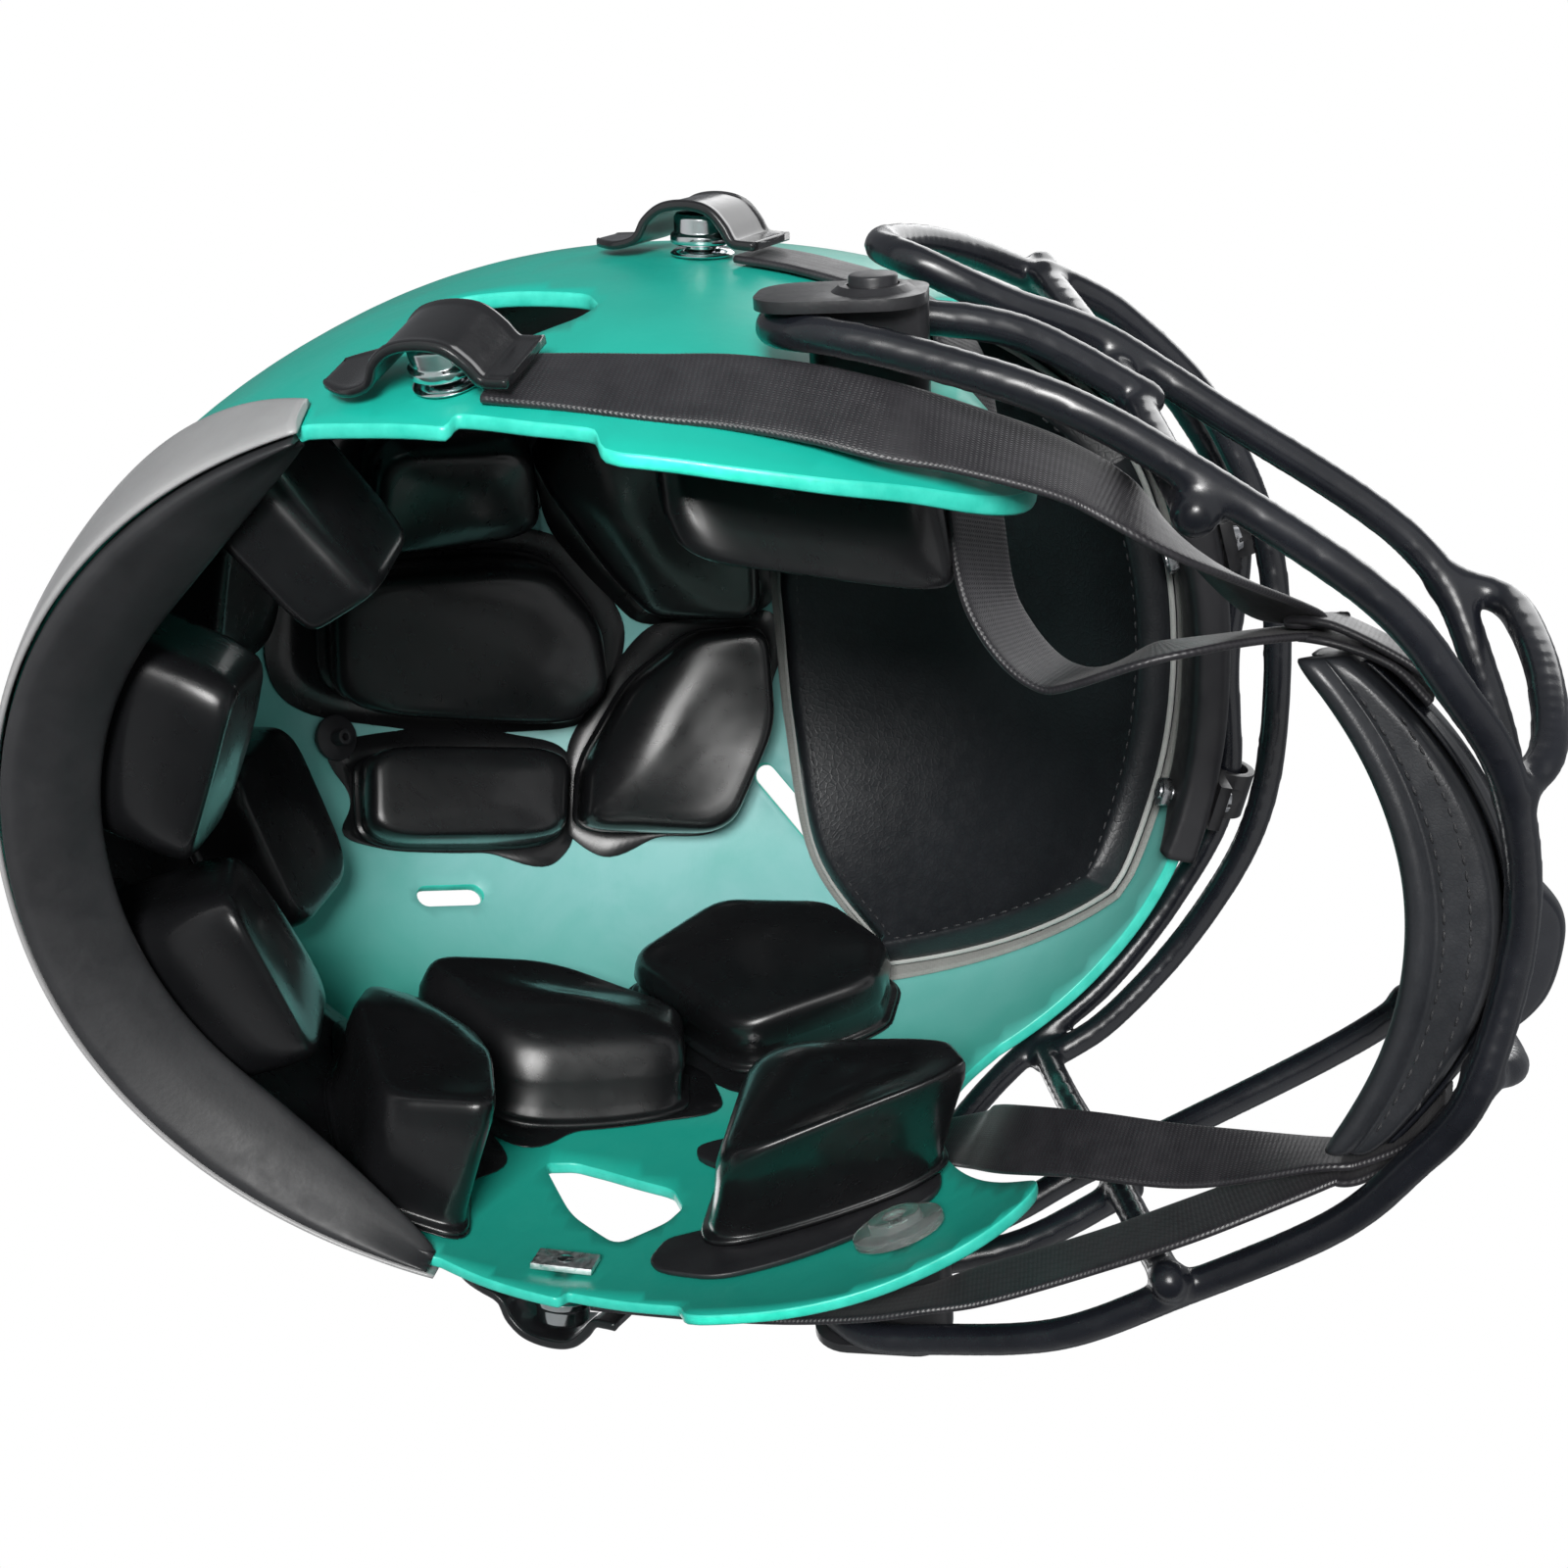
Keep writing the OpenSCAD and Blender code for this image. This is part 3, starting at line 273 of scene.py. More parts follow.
def loft(name, R, closed=True, caps=True, uv=None):
    # R is rings x points x 3
    R = np.asarray(R, float)
    m, n = R.shape[:2]
    V = R.reshape(-1, 3)
    F = []
    for j in range(m - 1):
        for i in range(n if closed else n - 1):
            k = (i + 1) % n
            F.append((j * n + i, j * n + k, (j + 1) * n + k, (j + 1) * n + i))
    if caps:
        for j in (0, m - 1):
            c = R[j].mean(0)
            prev = [j * n + i for i in range(n)]
            for t in (0.66, 0.33):
                V = np.vstack([V, R[j] * t + c * (1 - t)])
                ring = list(range(len(V) - n, len(V)))
                F += [(prev[i], prev[(i + 1) % n], ring[(i + 1) % n], ring[i]) for i in range(n)]
                prev = ring
            V = np.vstack([V, c[None]])
            F += [(prev[i], prev[(i + 1) % n], len(V) - 1) for i in range(n)]
    o = make(name, V, F, fix=not uv)
    if uv:
        lay = o.data.uv_layers.new(name="UVMap")
        us, vs = uv
        L = np.zeros((len(o.data.loops), 2))
        vi = np.empty(len(o.data.loops), int)
        o.data.loops.foreach_get("vertex_index", vi)
        ok = vi < m * n
        L[ok, 0] = np.asarray(us)[vi[ok] // n]
        L[ok, 1] = np.asarray(vs)[vi[ok] % n]
        lay.data.foreach_set("uv", L.ravel())
    return o


def round_rings(Q, V, W, r, sides):
    # circles of radius r round the points Q, in the planes of V and W
    a = turn(sides)[None, :, None]
    r = np.broadcast_to(r, (len(Q),))[:, None, None]
    return Q[:, None] + r * (np.cos(a) * V[:, None] + np.sin(a) * W[:, None])


def tube_rings(P, r):
    Q = even(spline(P, 16), 4.0)
    T = headings(Q)
    V = [square_to(A(0, 0, 1) if abs(T[0][2]) < 0.8 else A(0, 1, 0), T[0])]
    for t in T[1:]:
        V.append(square_to(V[-1], t))
    V = np.array(V)
    return round_rings(Q, V, np.cross(T, V), r, 16)


def modify(o, kind, **kw):
    m = o.modifiers.new(kind.lower(), kind)
    for k, v in kw.items():
        setattr(m, k, v)
    dg = bpy.context.evaluated_depsgraph_get()
    dg.update()
    new = bpy.data.meshes.new_from_object(o.evaluated_get(dg), preserve_all_data_layers=True, depsgraph=dg)
    o.modifiers.clear()
    o.data = new


def join(objs, name):
    b = bmesh.new()
    for o in objs:
        b.from_mesh(o.data)
        bpy.data.objects.remove(o)
    m = bpy.data.meshes.new(name)
    b.to_mesh(m)
    b.free()
    soften(m)
    return show(bpy.data.objects.new(name, m))


def place(o, p, x, y, z):
    # puts a piece built round the origin, in mm, at p with the given axes
    M = Matrix([*zip(x, y, z, p * MM), (0, 0, 0, 1)])
    o.data.transform(M)
    if M.determinant() < 0:
        o.data.flip_normals()


def wavy(P, amp, size, seed):
    # slow surface waves that stay the same each run
    r = np.random.default_rng(seed)
    out = np.zeros(P.shape[:-1])
    for _ in range(5):
        k = unit(r.normal(size=3)) * (2 * np.pi / (size * r.uniform(0.7, 1.5)))
        out += np.sin(P @ k + r.uniform(0, 6.28))
    return out * amp / 5


# Node materials
def node(nt, kind, values=(), links=(), **settings):
    # values and links go to sockets by name
    n = nt.nodes.new("ShaderNode" + kind)
    for k, v in settings.items():
        setattr(n, k, v)
    for k, v in dict(values).items():
        n.inputs[k].default_value = v
    for k, v in dict(links).items():
        nt.links.new(v, n.inputs[k])
    return n


def coords(nt, scale=(1, 1, 1)):
    place = node(nt, "TexCoord").outputs["Object"]
    return node(nt, "Mapping", {"Scale": scale}, {"Vector": place}).outputs[0]


def noise(nt, co, scale, detail=3.0, rough=0.5, distortion=0.0):
    shape_of = {"Scale": scale, "Detail": detail, "Roughness": rough, "Distortion": distortion}
    return node(nt, "TexNoise", shape_of, {"Vector": co}).outputs["Fac"]


def voronoi(nt, co, scale, feature="F1", rand=1.0):
    return node(nt, "TexVoronoi", {"Scale": scale, "Randomness": rand}, {"Vector": co},
                feature=feature).outputs["Distance"]


def span(nt, fac, a, b, lo=0.3, hi=0.7):
    # the range lo to hi of fac becomes the range a to b
    ends = {"From Min": lo, "From Max": hi, "To Min": a, "To Max": b}
    return node(nt, "MapRange", ends, {"Value": fac}).outputs[0]


def ramp(nt, fac, lo, dark, hi, light):
    n = node(nt, "ValToRGB", links={0: fac})
    for e, p, c in zip(n.color_ramp.elements, (lo, hi), (dark, light)):
        e.position, e.color = p, (*c, 1)
    return n.outputs[0]


def maths(nt, op, a, b=None):
    n = node(nt, "Math", operation=op)
    for i, v in enumerate((a, b)):
        if isinstance(v, (int, float)):
            n.inputs[i].default_value = v
        elif v is not None:
            nt.links.new(v, n.inputs[i])
    return n.outputs[0]


def tree_of(owner):
    owner.use_nodes = True
    owner.node_tree.nodes.clear()
    return owner.node_tree


def new_mat(name):
    m = bpy.data.materials.new(name)
    nt = tree_of(m)
    return m, nt, coords(nt)


def surface(m, col, rough, bumps, **constants):
    # bumps are (height, strength, distance in m), coarse first
    nt = m.node_tree
    prev = None
    for h, strength, distance in bumps:
        links = {"Height": h, "Normal": prev} if prev else {"Height": h}
        prev = node(nt, "Bump", {"Strength": strength, "Distance": distance}, links).outputs[0]
    b = node(nt, "BsdfPrincipled", {k.replace("_", " "): v for k, v in constants.items()},
             {"Base Color": col, "Roughness": rough, "Normal": prev})
    node(nt, "OutputMaterial", links={"Surface": b.outputs[0]})
    return m


def smooth_mat(name, dark, light, rough, grain, grain_h, coat, wave, scuff=0.0):
    # moulded plastic and coated wire: slow colour drift, fine grain, smudges and light scuffs
    m, nt, co = new_mat(name)
    slow = noise(nt, co, wave, 4.0, 0.55)
    col = ramp(nt, slow, 0.3, dark, 0.72, light)
    if scuff:
        marks = noise(nt, coords(nt, (1, 1, 6)), 420.0, 6.0, 0.7, 0.6)
        marks = ramp(nt, marks, 0.66, (0, 0, 0), 0.74, (1, 1, 1))
        mix = node(nt, "Mix", data_type="RGBA")
        nt.links.new(maths(nt, "MULTIPLY", marks, scuff), mix.inputs["Factor"])
        nt.links.new(col, mix.inputs["A"])
        mix.inputs["B"].default_value = (*[min(1, c * 1.5 + 0.03) for c in light], 1)
        col = mix.outputs["Result"]
    smudge = span(nt, noise(nt, co, wave * 2.3, 5.0, 0.6, 0.3), rough * 0.82, min(1, rough * 1.22))
    return surface(m, col, smudge, [(slow, 0.25, 0.0004), (voronoi(nt, co, grain * 0.55), 0.5, grain_h),
                                    (noise(nt, co, grain, 2.0), 0.5, grain_h)],
                   Coat_Weight=coat, Coat_Roughness=0.12)


def film_mat(name, dark, light, rough):
    # welded vinyl film over foam: soft dents, a fine skin and faint rub marks
    m, nt, co = new_mat(name)
    col = ramp(nt, noise(nt, co, 45.0), 0.3, dark, 0.72, light)
    rub = noise(nt, coords(nt, (1, 1, 3)), 160.0, 5.0, 0.6, 0.8)
    dent = noise(nt, co, 26.0, 2.0, 0.4, 0.3)
    skin = noise(nt, co, 2400.0, 2.0)
    return surface(m, col, span(nt, rub, rough * 0.95, rough * 1.08),
                   [(dent, 0.5, 0.0016), (rub, 0.03, 0.0001), (skin, 0.2, 0.000012)],
                   Coat_Weight=0.45, Coat_Roughness=0.14)


def shell_mat(name, dark, light):
    m, nt, co = new_mat(name)
    col = ramp(nt, noise(nt, co, 26.0), 0.25, dark, 0.75, light)
    smudge = span(nt, noise(nt, co, 75.0, 6.0, 0.62, 0.5), 0.30, 0.44)
    return surface(m, col, smudge, [(noise(nt, co, 520.0, 2.0), 0.35, 0.00006),
                                    (noise(nt, co, 2600.0, 2.0, 0.6), 0.30, 0.00003)],
                   Specular_IOR_Level=0.3, Coat_Weight=0.05, Coat_Roughness=0.3)


def inner_mat(name, low, crown):
    # inside face of the shell: bare plastic, chalky, with painted light that makes it paler towards the crown
    m, nt, co = new_mat(name)
    height = node(nt, "SeparateXYZ", links={0: co}).outputs["Z"]
    # painted light: the colour grows paler with height and is lightest at the crown, where the light falls
    up = span(nt, height, 0.0, 1.0, 0.105, 0.205)
    cloud = span(nt, noise(nt, co, 34.0, 5.0, 0.6, 0.4), 0.75, 1.1)
    col = ramp(nt, maths(nt, "MULTIPLY", up, cloud), 0.0, low, 1.0, crown)
    flow = noise(nt, coords(nt, (1, 2.4, 1)), 60.0, 4.0, 0.6, 1.2)
    return surface(m, col, span(nt, noise(nt, co, 90.0, 6.0, 0.65, 0.4), 0.36, 0.55),
                   [(flow, 0.3, 0.0003), (noise(nt, co, 1800.0, 3.0, 0.6), 0.35, 0.00004)])


def edge_and_highlight_mat(name, dark, light):
    # trimmed edge of the shell, cut and lightly sanded; its colours, lighter than the shell, are partly painted
    # highlight for the bright line of light along the rim
    m, nt, co = new_mat(name)
    col = ramp(nt, noise(nt, co, 140.0, 5.0, 0.6), 0.3, dark, 0.72, light)
    return surface(m, col, span(nt, noise(nt, co, 400.0, 4.0), 0.28, 0.45),
                   [(noise(nt, coords(nt, (1, 1, 9)), 700.0), 0.4, 0.00005)])


def leather_mat(name, dark, light, rough, scale, fold, grain):
    m, nt, co = new_mat(name)
    cells = voronoi(nt, co, scale, "DISTANCE_TO_EDGE")
    fac = maths(nt, "MULTIPLY", noise(nt, co, 40.0, 4.0, 0.6), span(nt, cells, 0.75, 1.05, 0.0, 0.25))
    crease = noise(nt, co, 130.0, 6.0, 0.7, 1.4)
    return surface(m, ramp(nt, fac, 0.2, dark, 0.75, light),
                   span(nt, noise(nt, co, 220.0, 4.0), rough * 0.85, rough * 1.15),
                   [(crease, fold, 0.0003), (span(nt, cells, 0, 1, 0.0, 0.18), grain, 0.00008),
                    (noise(nt, co, scale * 4, 2.0), 0.3, 0.00003)])


def weave_mat(name, dark, light, rough, rib, thread, depth, sheen):
    # strap webbing: u runs along the strap in m, v across it in m
    m, nt, co = new_mat(name)
    sep = node(nt, "SeparateXYZ", links={0: node(nt, "TexCoord").outputs["UV"]})
    u = maths(nt, "MULTIPLY", sep.outputs[0], 2 * math.pi / rib)
    weft = maths(nt, "SINE", maths(nt, "MULTIPLY", sep.outputs[1], 2 * math.pi / thread))
    herring = maths(nt, "SINE", maths(nt, "ADD", u, maths(nt, "MULTIPLY", weft, 1.1)))
    h = maths(nt, "ADD", maths(nt, "MULTIPLY", herring, 0.7), maths(nt, "MULTIPLY", weft, 0.3))
    slow = noise(nt, co, 120.0, 4.0, 0.6)
    fac = maths(nt, "ADD", maths(nt, "MULTIPLY", h, 0.16), slow)
    return surface(m, ramp(nt, fac, 0.2, dark, 0.8, light), span(nt, slow, rough * 0.85, rough * 1.1),
                   [(h, 0.6, depth), (noise(nt, co, 5200.0, 2.0), 0.3, 0.00004)],
                   Sheen_Weight=sheen, Sheen_Roughness=0.4)


def fabric_mat(name, dark, light, scale):
    m, nt, co = new_mat(name)
    knit = voronoi(nt, co, scale, "F1", 0.35)
    slow = noise(nt, co, 60.0, 4.0, 0.6)
    fac = maths(nt, "ADD", maths(nt, "MULTIPLY", knit, 0.35), maths(nt, "MULTIPLY", slow, 0.7))
    return surface(m, ramp(nt, fac, 0.25, dark, 0.75, light), span(nt, slow, 0.78, 0.95, 0.0, 1.0),
                   [(slow, 0.3, 0.0004), (knit, 0.6, 0.00014)], Sheen_Weight=0.35)


def metal_mat(name, col, rough, scratch):
    m, nt, co = new_mat(name)
    tone = ramp(nt, noise(nt, co, 180.0, 4.0), 0.3, tuple(c * 0.85 for c in col), 0.7, col)
    return surface(m, tone, span(nt, noise(nt, co, 700.0, 5.0, 0.65), rough * 0.6, rough * 1.6),
                   [(noise(nt, coords(nt, (1, 14, 1)), 900.0, 4.0, 0.6), scratch, 0.00003)], Metallic=1.0)


def clear_mat(name, dark, light):
    m, nt, co = new_mat(name)
    return surface(m, ramp(nt, noise(nt, co, 90.0), 0.3, dark, 0.7, light),
                   span(nt, noise(nt, co, 300.0, 4.0), 0.03, 0.12), [(noise(nt, co, 160.0), 0.2, 0.0002)],
                   Transmission_Weight=0.92, IOR=1.46)


# key: kind, name, then the settings of that kind
MAT = {k: kind(*v) for k, (kind, *v) in {
    "shell": (shell_mat, "shell_satin_green", (0.007, 0.315, 0.245), (0.011, 0.365, 0.288)),
    # the second colour of the inside is painted light at the crown
    "inner": (inner_mat, "shell_inside_with_painted_crown_light", (0.012, 0.335, 0.258), (0.215, 0.495, 0.480)),
    # the cut edge is lighter than the shell, partly as painted highlight
    "edge": (edge_and_highlight_mat, "shell_cut_edge_and_highlight", (0.020, 0.43, 0.335), (0.055, 0.58, 0.47)),
    "pad": (film_mat, "pad_film", (0.0040, 0.0042, 0.0048), (0.0070, 0.0072, 0.0080), 0.28),
    "band": (smooth_mat, "band_rubber", (0.014, 0.0145, 0.016), (0.020, 0.0205, 0.0225),
        0.52, 1300.0, 0.00003, 0.0, 45.0),
    "bumper": (smooth_mat, "bumper_grey", (0.25, 0.25, 0.253), (0.31, 0.31, 0.313),
        0.40, 1100.0, 0.00003, 0.0, 30.0, 0.12),
    "buckle": (smooth_mat, "buckle_gloss", (0.006, 0.006, 0.007), (0.011, 0.011, 0.012),
        0.20, 1500.0, 0.00002, 0.4, 80.0),
    "rubber": (smooth_mat, "rubber_black", (0.010, 0.010, 0.012), (0.018, 0.018, 0.020),
        0.42, 900.0, 0.00004, 0.0, 80.0),
    "wire": (smooth_mat, "wire_vinyl", (0.0045, 0.0052, 0.0075), (0.0080, 0.0090, 0.0125),
        0.27, 260.0, 0.000012, 0.4, 55.0),
    "clip": (smooth_mat, "clip_nylon", (0.010, 0.010, 0.011), (0.017, 0.017, 0.019),
        0.34, 1500.0, 0.00004, 0.0, 90.0, 0.10),
    "brow": (leather_mat, "brow_leather", (0.0085, 0.0095, 0.0115), (0.015, 0.0165, 0.0195),
        0.44, 520.0, 0.25, 0.45),
    "cup": (leather_mat, "cup_leather", (0.011, 0.012, 0.014), (0.020, 0.0215, 0.025), 0.33, 900.0, 0.02, 0.12),
    "backing": (fabric_mat, "backing_fabric", (0.17, 0.175, 0.165), (0.26, 0.265, 0.25), 1400.0),
    "piping": (fabric_mat, "piping_fabric", (0.30, 0.31, 0.30), (0.42, 0.43, 0.41), 2400.0),
    "thread": (weave_mat, "stitch_thread", (0.014, 0.014, 0.016), (0.034, 0.035, 0.038),
        0.55, 0.0007, 0.0006, 0.00008, 0.0),
    "strap": (weave_mat, "strap_webbing", (0.011, 0.0105, 0.0125), (0.021, 0.020, 0.023),
        0.42, 0.0011, 0.0006, 0.00005, 0.05),
    "nut": (metal_mat, "nut_plate", (0.93, 0.94, 0.95), 0.38, 0.3),
    "chrome": (metal_mat, "chrome_plate", (0.86, 0.87, 0.89), 0.10, 0.25),
    "steel": (metal_mat, "zinc_steel", (0.62, 0.63, 0.65), 0.26, 0.4),
    "clear": (clear_mat, "clear_plastic", (0.86, 0.92, 0.90), (0.95, 0.97, 0.97)),
}.items()}


def dress(o, mat, nodes=(), body="helmet"):
    kinds = np.zeros(len(o.data.polygons), np.int32)
    if not isinstance(mat, str):
        o.data.polygons.foreach_get("material_index", kinds)
    o.data.materials.clear()
    for k in ([mat] if isinstance(mat, str) else mat):
        o.data.materials.append(MAT[k])
    o.data.polygons.foreach_set("material_index", kinds)
    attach(o, body)
    if nodes:
        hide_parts(*nodes)


def refined(cad, look, mat, width, seg=2, angle=38, body="helmet"):
    # a copy of a hard CAD node with its sharp edges rolled over, width in mm
    o = NODES[cad].copy()
    o.data = o.data.copy()
    for k in list(o.keys()):
        del o[k]
    o.name = cad + "_" + look
    o.parent = None
    show(o)
    b = bmesh.new()
    b.from_mesh(o.data)
    bmesh.ops.remove_doubles(b, verts=b.verts, dist=2e-5)
    bmesh.ops.dissolve_limit(b, angle_limit=math.radians(1.5), verts=b.verts, edges=b.edges)
    b.to_mesh(o.data)
    b.free()
    if "custom_normal" in o.data.attributes:
        o.data.attributes.remove(o.data.attributes["custom_normal"])
    modify(o, "BEVEL", width=width * MM, segments=seg, limit_method="ANGLE", angle_limit=math.radians(angle),
           harden_normals=False)
    soften(o.data)
    b = bmesh.new()
    b.from_mesh(o.data)
    for e in b.edges:
        e.smooth = not (len(e.link_faces) == 2 and e.calc_face_angle(0) > math.radians(28))
    b.to_mesh(o.data)
    b.free()
    dress(o, mat, [cad], body=body)


# Shell: both faces triangulated inside exact rim and hole lines, then joined by a rounded edge
# side rim as (y, z) from the nape to the brow, height of the front edge by y, ear hole
RIM = A([75.2, 19], [62.7, 13.9], [51.5, 10.7], [41.3, 7.9], [40.6, 12.5], [24.3, 8.7], [10.1, 6.7],
        [7.7, 1.2], [4, 0], [-14.9, 0], [-27, 1.6], [-38.6, 4.5], [-50.3, 10], [-63.9, 17], [-73.4, 27],
        [-76, 36], [-72, 42], [-66, 48.6], [-60, 56], [-54.5, 65], [-50, 75], [-47, 85], [-46, 95],
        [-47, 105], [-50, 115], [-55, 122.6], [-62, 129])
EDGE_Y = A(-130, -121.5, -112, -93, -76, -62)
EDGE_Z = A(157, 156, 150, 142.6, 135, 129)
EAR = A([66, 79.3], [57.4, 82.4], [47, 80.2], [26.6, 73.4], [21.7, 64], [24.6, 55.5], [35.5, 42], [51.8, 55.8])


def soft_rim():
    out = [RIM[0]]
    for i in range(1, len(RIM) - 1):
        # the steps of the lower edge keep tight corners
        f = 0.16 if 2 <= i <= 8 else 0.5
        c = RIM[i]
        p, q = c + (RIM[i - 1] - c) * f, c + (RIM[i + 1] - c) * f
        out += [bend(p, c, q, t) for t in np.linspace(0, 1, 6)]
    out.append(RIM[-1])
    return even(np.array(out), 1.6)


def front_line(az, off):
    # finds the height at which the wall meets the front edge
    z = np.full(len(az), 152.0)
    for _ in range(12):
        y = wall_pt(az, z, off)[:, 1] - MID + DRAWN_MID
        z = np.interp(y, EDGE_Y, EDGE_Z)
    return wall_pt(az, z, off)


def rim_loop(off):
    S = soft_rim()
    L, R = side_pt(S, off, 1), side_pt(S[::-1], off, -1)
    a, b = (math.degrees(math.atan2(abs(e[0]), MID - e[1])) for e in (L[-1], R[-1]))
    front = front_line(np.linspace(a, -a, 150)[1:-1], off)
    back = wall_pt(np.linspace(360 - b, b, 150)[1:-1], 19.0, off)
    return np.vstack([L, front, R, back])


def bore_loop(p, n, off):
    x = square_to(A(0, 0, 1), n)
    a = turn(24)[:, None]
    return onto(p + BOLT_R * (np.cos(a) * x + np.sin(a) * np.cross(n, x)), n, off)


def slot_loop(pa, pb, off):
    n = unit(outward(pa) + outward(pb))
    x = square_to(pb - pa, n)
    y = np.cross(n, x)
    out = []
    for c, a0 in ((pb, -90), (pa, 90)):
        for a in np.radians(np.linspace(a0, a0 + 180, 10)):
            out.append(c + SLOT_R * (math.cos(a) * x + math.sin(a) * y))
    return onto(np.array(out), n, off)


def top_pt(x, y):
    return hit(A(x, y, WZ), A(0, 0, 1), 0)


# seats on the side of the shell as (y, z), then the left brow bolt and valve as points of the outer face
LOW_SNAP, HIGH_SNAP, CLIP_SEAT = A(45, 25), A(8.1, 116), A(-43, 33)
BROW_BOLT = hit(A(37.6, MID, 158.5), A(0, -1, 0), 0)
VALVE = hit(A(0, MID, 110), unit(at([35, 160, 191]) - A(0, MID, 110)), 0)


def flip(p, s):
    return A(p[0] * s, p[1], p[2])


def shell_loops(off):
    loops = [rim_loop(off)]
    for s in (1, -1):
        loops.append(side_pt(closed_even(rounded(EAR, 0.22, 6), 90), off, s))
        loops.append(slot_loop(top_pt(68 * s, MID - 7), top_pt(84 * s, MID - 24), off))
        loops.append(slot_loop(top_pt(88 * s, MID + 100), top_pt(92 * s, MID + 88), off))
        snaps = [side_pt(yz, 0, s) for yz in (LOW_SNAP, HIGH_SNAP)]
        bolts = [flip(BROW_BOLT, s), flip(VALVE, s)]
        loops += [bore_loop(p, outward(p), off) for p in snaps]
        loops.append(bore_loop(side_pt(CLIP_SEAT, 0, s), A(s, 0, 0), off))
        loops += [bore_loop(p, outward(p), off) for p in bolts]
    return loops


def in_poly(P, L):
    out = np.zeros(len(P), bool)
    for a, b in zip(L, np.roll(L, -1, 0)):
        c = (a[1] > P[:, 1]) != (b[1] > P[:, 1])
        with np.errstate(divide="ignore", invalid="ignore"):
            x = (b[0] - a[0]) * (P[:, 1] - a[1]) / (b[1] - a[1]) + a[0]
        out ^= c & (P[:, 0] < x)
    return out


def near(P, L, d):
    close = np.zeros(len(P), bool)
    for a, b in zip(L, np.roll(L, -1, 0)):
        ab = b - a
        t = np.clip(((P - a) @ ab) / max(ab @ ab, 1e-12), 0, 1)
        close |= np.linalg.norm(P - (a + t[:, None] * ab), axis=1) < d
    return close


def face_mesh(loops, off):
    # faces inside the first loop and outside the others, about h apart on the flat map
    h = 0.022
    UV = [to_uv(L, off) for L in loops]

    def within(P):
        keep = in_poly(P, UV[0])
        for L in UV[1:]:
            keep &= ~in_poly(P, L)
        return keep

    pts = [[0.0, 0.0]]
    for j in range(1, int(1.5 / h)):
        n = max(6, int(round(2 * math.pi * j * 0.95)))
        a = turn(n) + (j % 2) * math.pi / n
        pts += list(np.stack([j * h * np.sin(a), -j * h * np.cos(a)], 1))
    pts = np.array(pts)
    keep = within(pts) & ~near(pts, UV[0], h * 0.55)
    for L in UV[1:]:
        keep &= ~near(pts, L, h * 0.5)
    flat, edges, ids = [], [], []
    for L in UV:
        k, n = len(flat), len(L)
        ids.append(range(k, k + n))
        flat += list(L)
        edges += [(k + i, k + (i + 1) % n) for i in range(n)]
    flat = [Vector(p) for p in flat + list(pts[keep])]
    vo, _, fo, ov, _, _ = delaunay_2d_cdt(flat, edges, [], 0, 1e-7, True)
    vo = np.array([tuple(v) for v in vo])
    where = {k: i for i, src in enumerate(ov) for k in src}
    ids = [[where[k] for k in row] for row in ids]
    F = np.array([f for f in fo if len(f) == 3])
    F = F[within(vo[F].mean(1))]
    # on the loops the exact points take the place of the mapped ones
    V = from_uv(vo, off)
    for row, L in zip(ids, loops):
        V[row] = L
    return V, F, ids


def flat_area(L):
    c = to_uv(L, 0.0)
    return abs(0.5 * np.sum(c[:, 0] * np.roll(c[:, 1], -1) - np.roll(c[:, 0], -1) * c[:, 1]))


def build_shell():
    Lo, Li = shell_loops(0.0), shell_loops(WALL)
    (Po, Fo, Io), (Pi, Fi, Ii) = face_mesh(Lo, 0.0), face_mesh(Li, WALL)
    V = [Po, Pi]
    F = [tuple(f) for f in Fo] + [tuple(f + len(Po)) for f in Fi[:, ::-1]]
    kinds = [0] * len(Fo) + [1] * len(Fi)
    base = len(Po) + len(Pi)
    for L, M, a, b in zip(Lo, Li, Io, Ii):
        n = len(L)
        push = unit(np.cross(unit(np.roll(L, -1, 0) - np.roll(L, 1, 0)), unit(L - M)))
        if (flat_area(L + push * 0.5) > flat_area(L)) != (L is Lo[0]):
            push = -push
        rows = [a]
        # share of the way through the wall and how far the edge swells there
        for t, w in ((0.10, 0.28), (0.26, 0.42), (0.5, 0.46), (0.74, 0.42), (0.90, 0.28)):
            V.append(L * (1 - t) + M * t + push * w)
            rows.append(list(range(base, base + n)))
            base += n
        rows.append([k + len(Po) for k in b])
        for r, s in zip(rows, rows[1:]):
            for i in range(n):
                k = (i + 1) % n
                F.append((r[i], s[i], s[k], r[k]))
                kinds.append(2)
    V = np.vstack(V)
    o = make("shell_body", V, F, fix=False)
    o.data.polygons.foreach_set("material_index", kinds[:len(o.data.polygons)])
    mend(o.data)
    dress(o, ["shell", "inner", "edge"], ["shell"])


build_shell()


# Strips on the shell edges
def strip(az, pts):
    # pts are (depth below the outer face, z)
    return wall_pt(az, pts[:, 1], pts[:, 0])


def fine_ring(pts, f, total):
    return closed_even(rounded(pts, f, 4), total)


def rear_bumper():
    # over the nape edge, from 113 to 247 degrees, with a taper of 10 of its 44 steps at each end
    low, high, R = 14.4, 56.0, []
    for i in np.linspace(0, 44, 133):
        az = 113 + i * 134 / 44
        e = min(1, min(i, 44 - i) / 10)
        top = low + (high - low) * (0.32 + 0.68 * math.sin(math.radians(90 * e)))
        pts = fine_ring([[-0.6, low + 0.2], [-1.9, low + 0.2], [-2.7, low + 2.4], [-2.75, (low + top) / 2],
                         [-2.6, top - 2.4], [-1.9, top - 0.2], [-0.6, top - 0.2], [-0.65, (low + top) / 2]],
                        0.32, 44)
        R.append(strip(az, pts))
    dress(loft("rear_bumper_skin", R), "bumper", ["rear_bumper"])


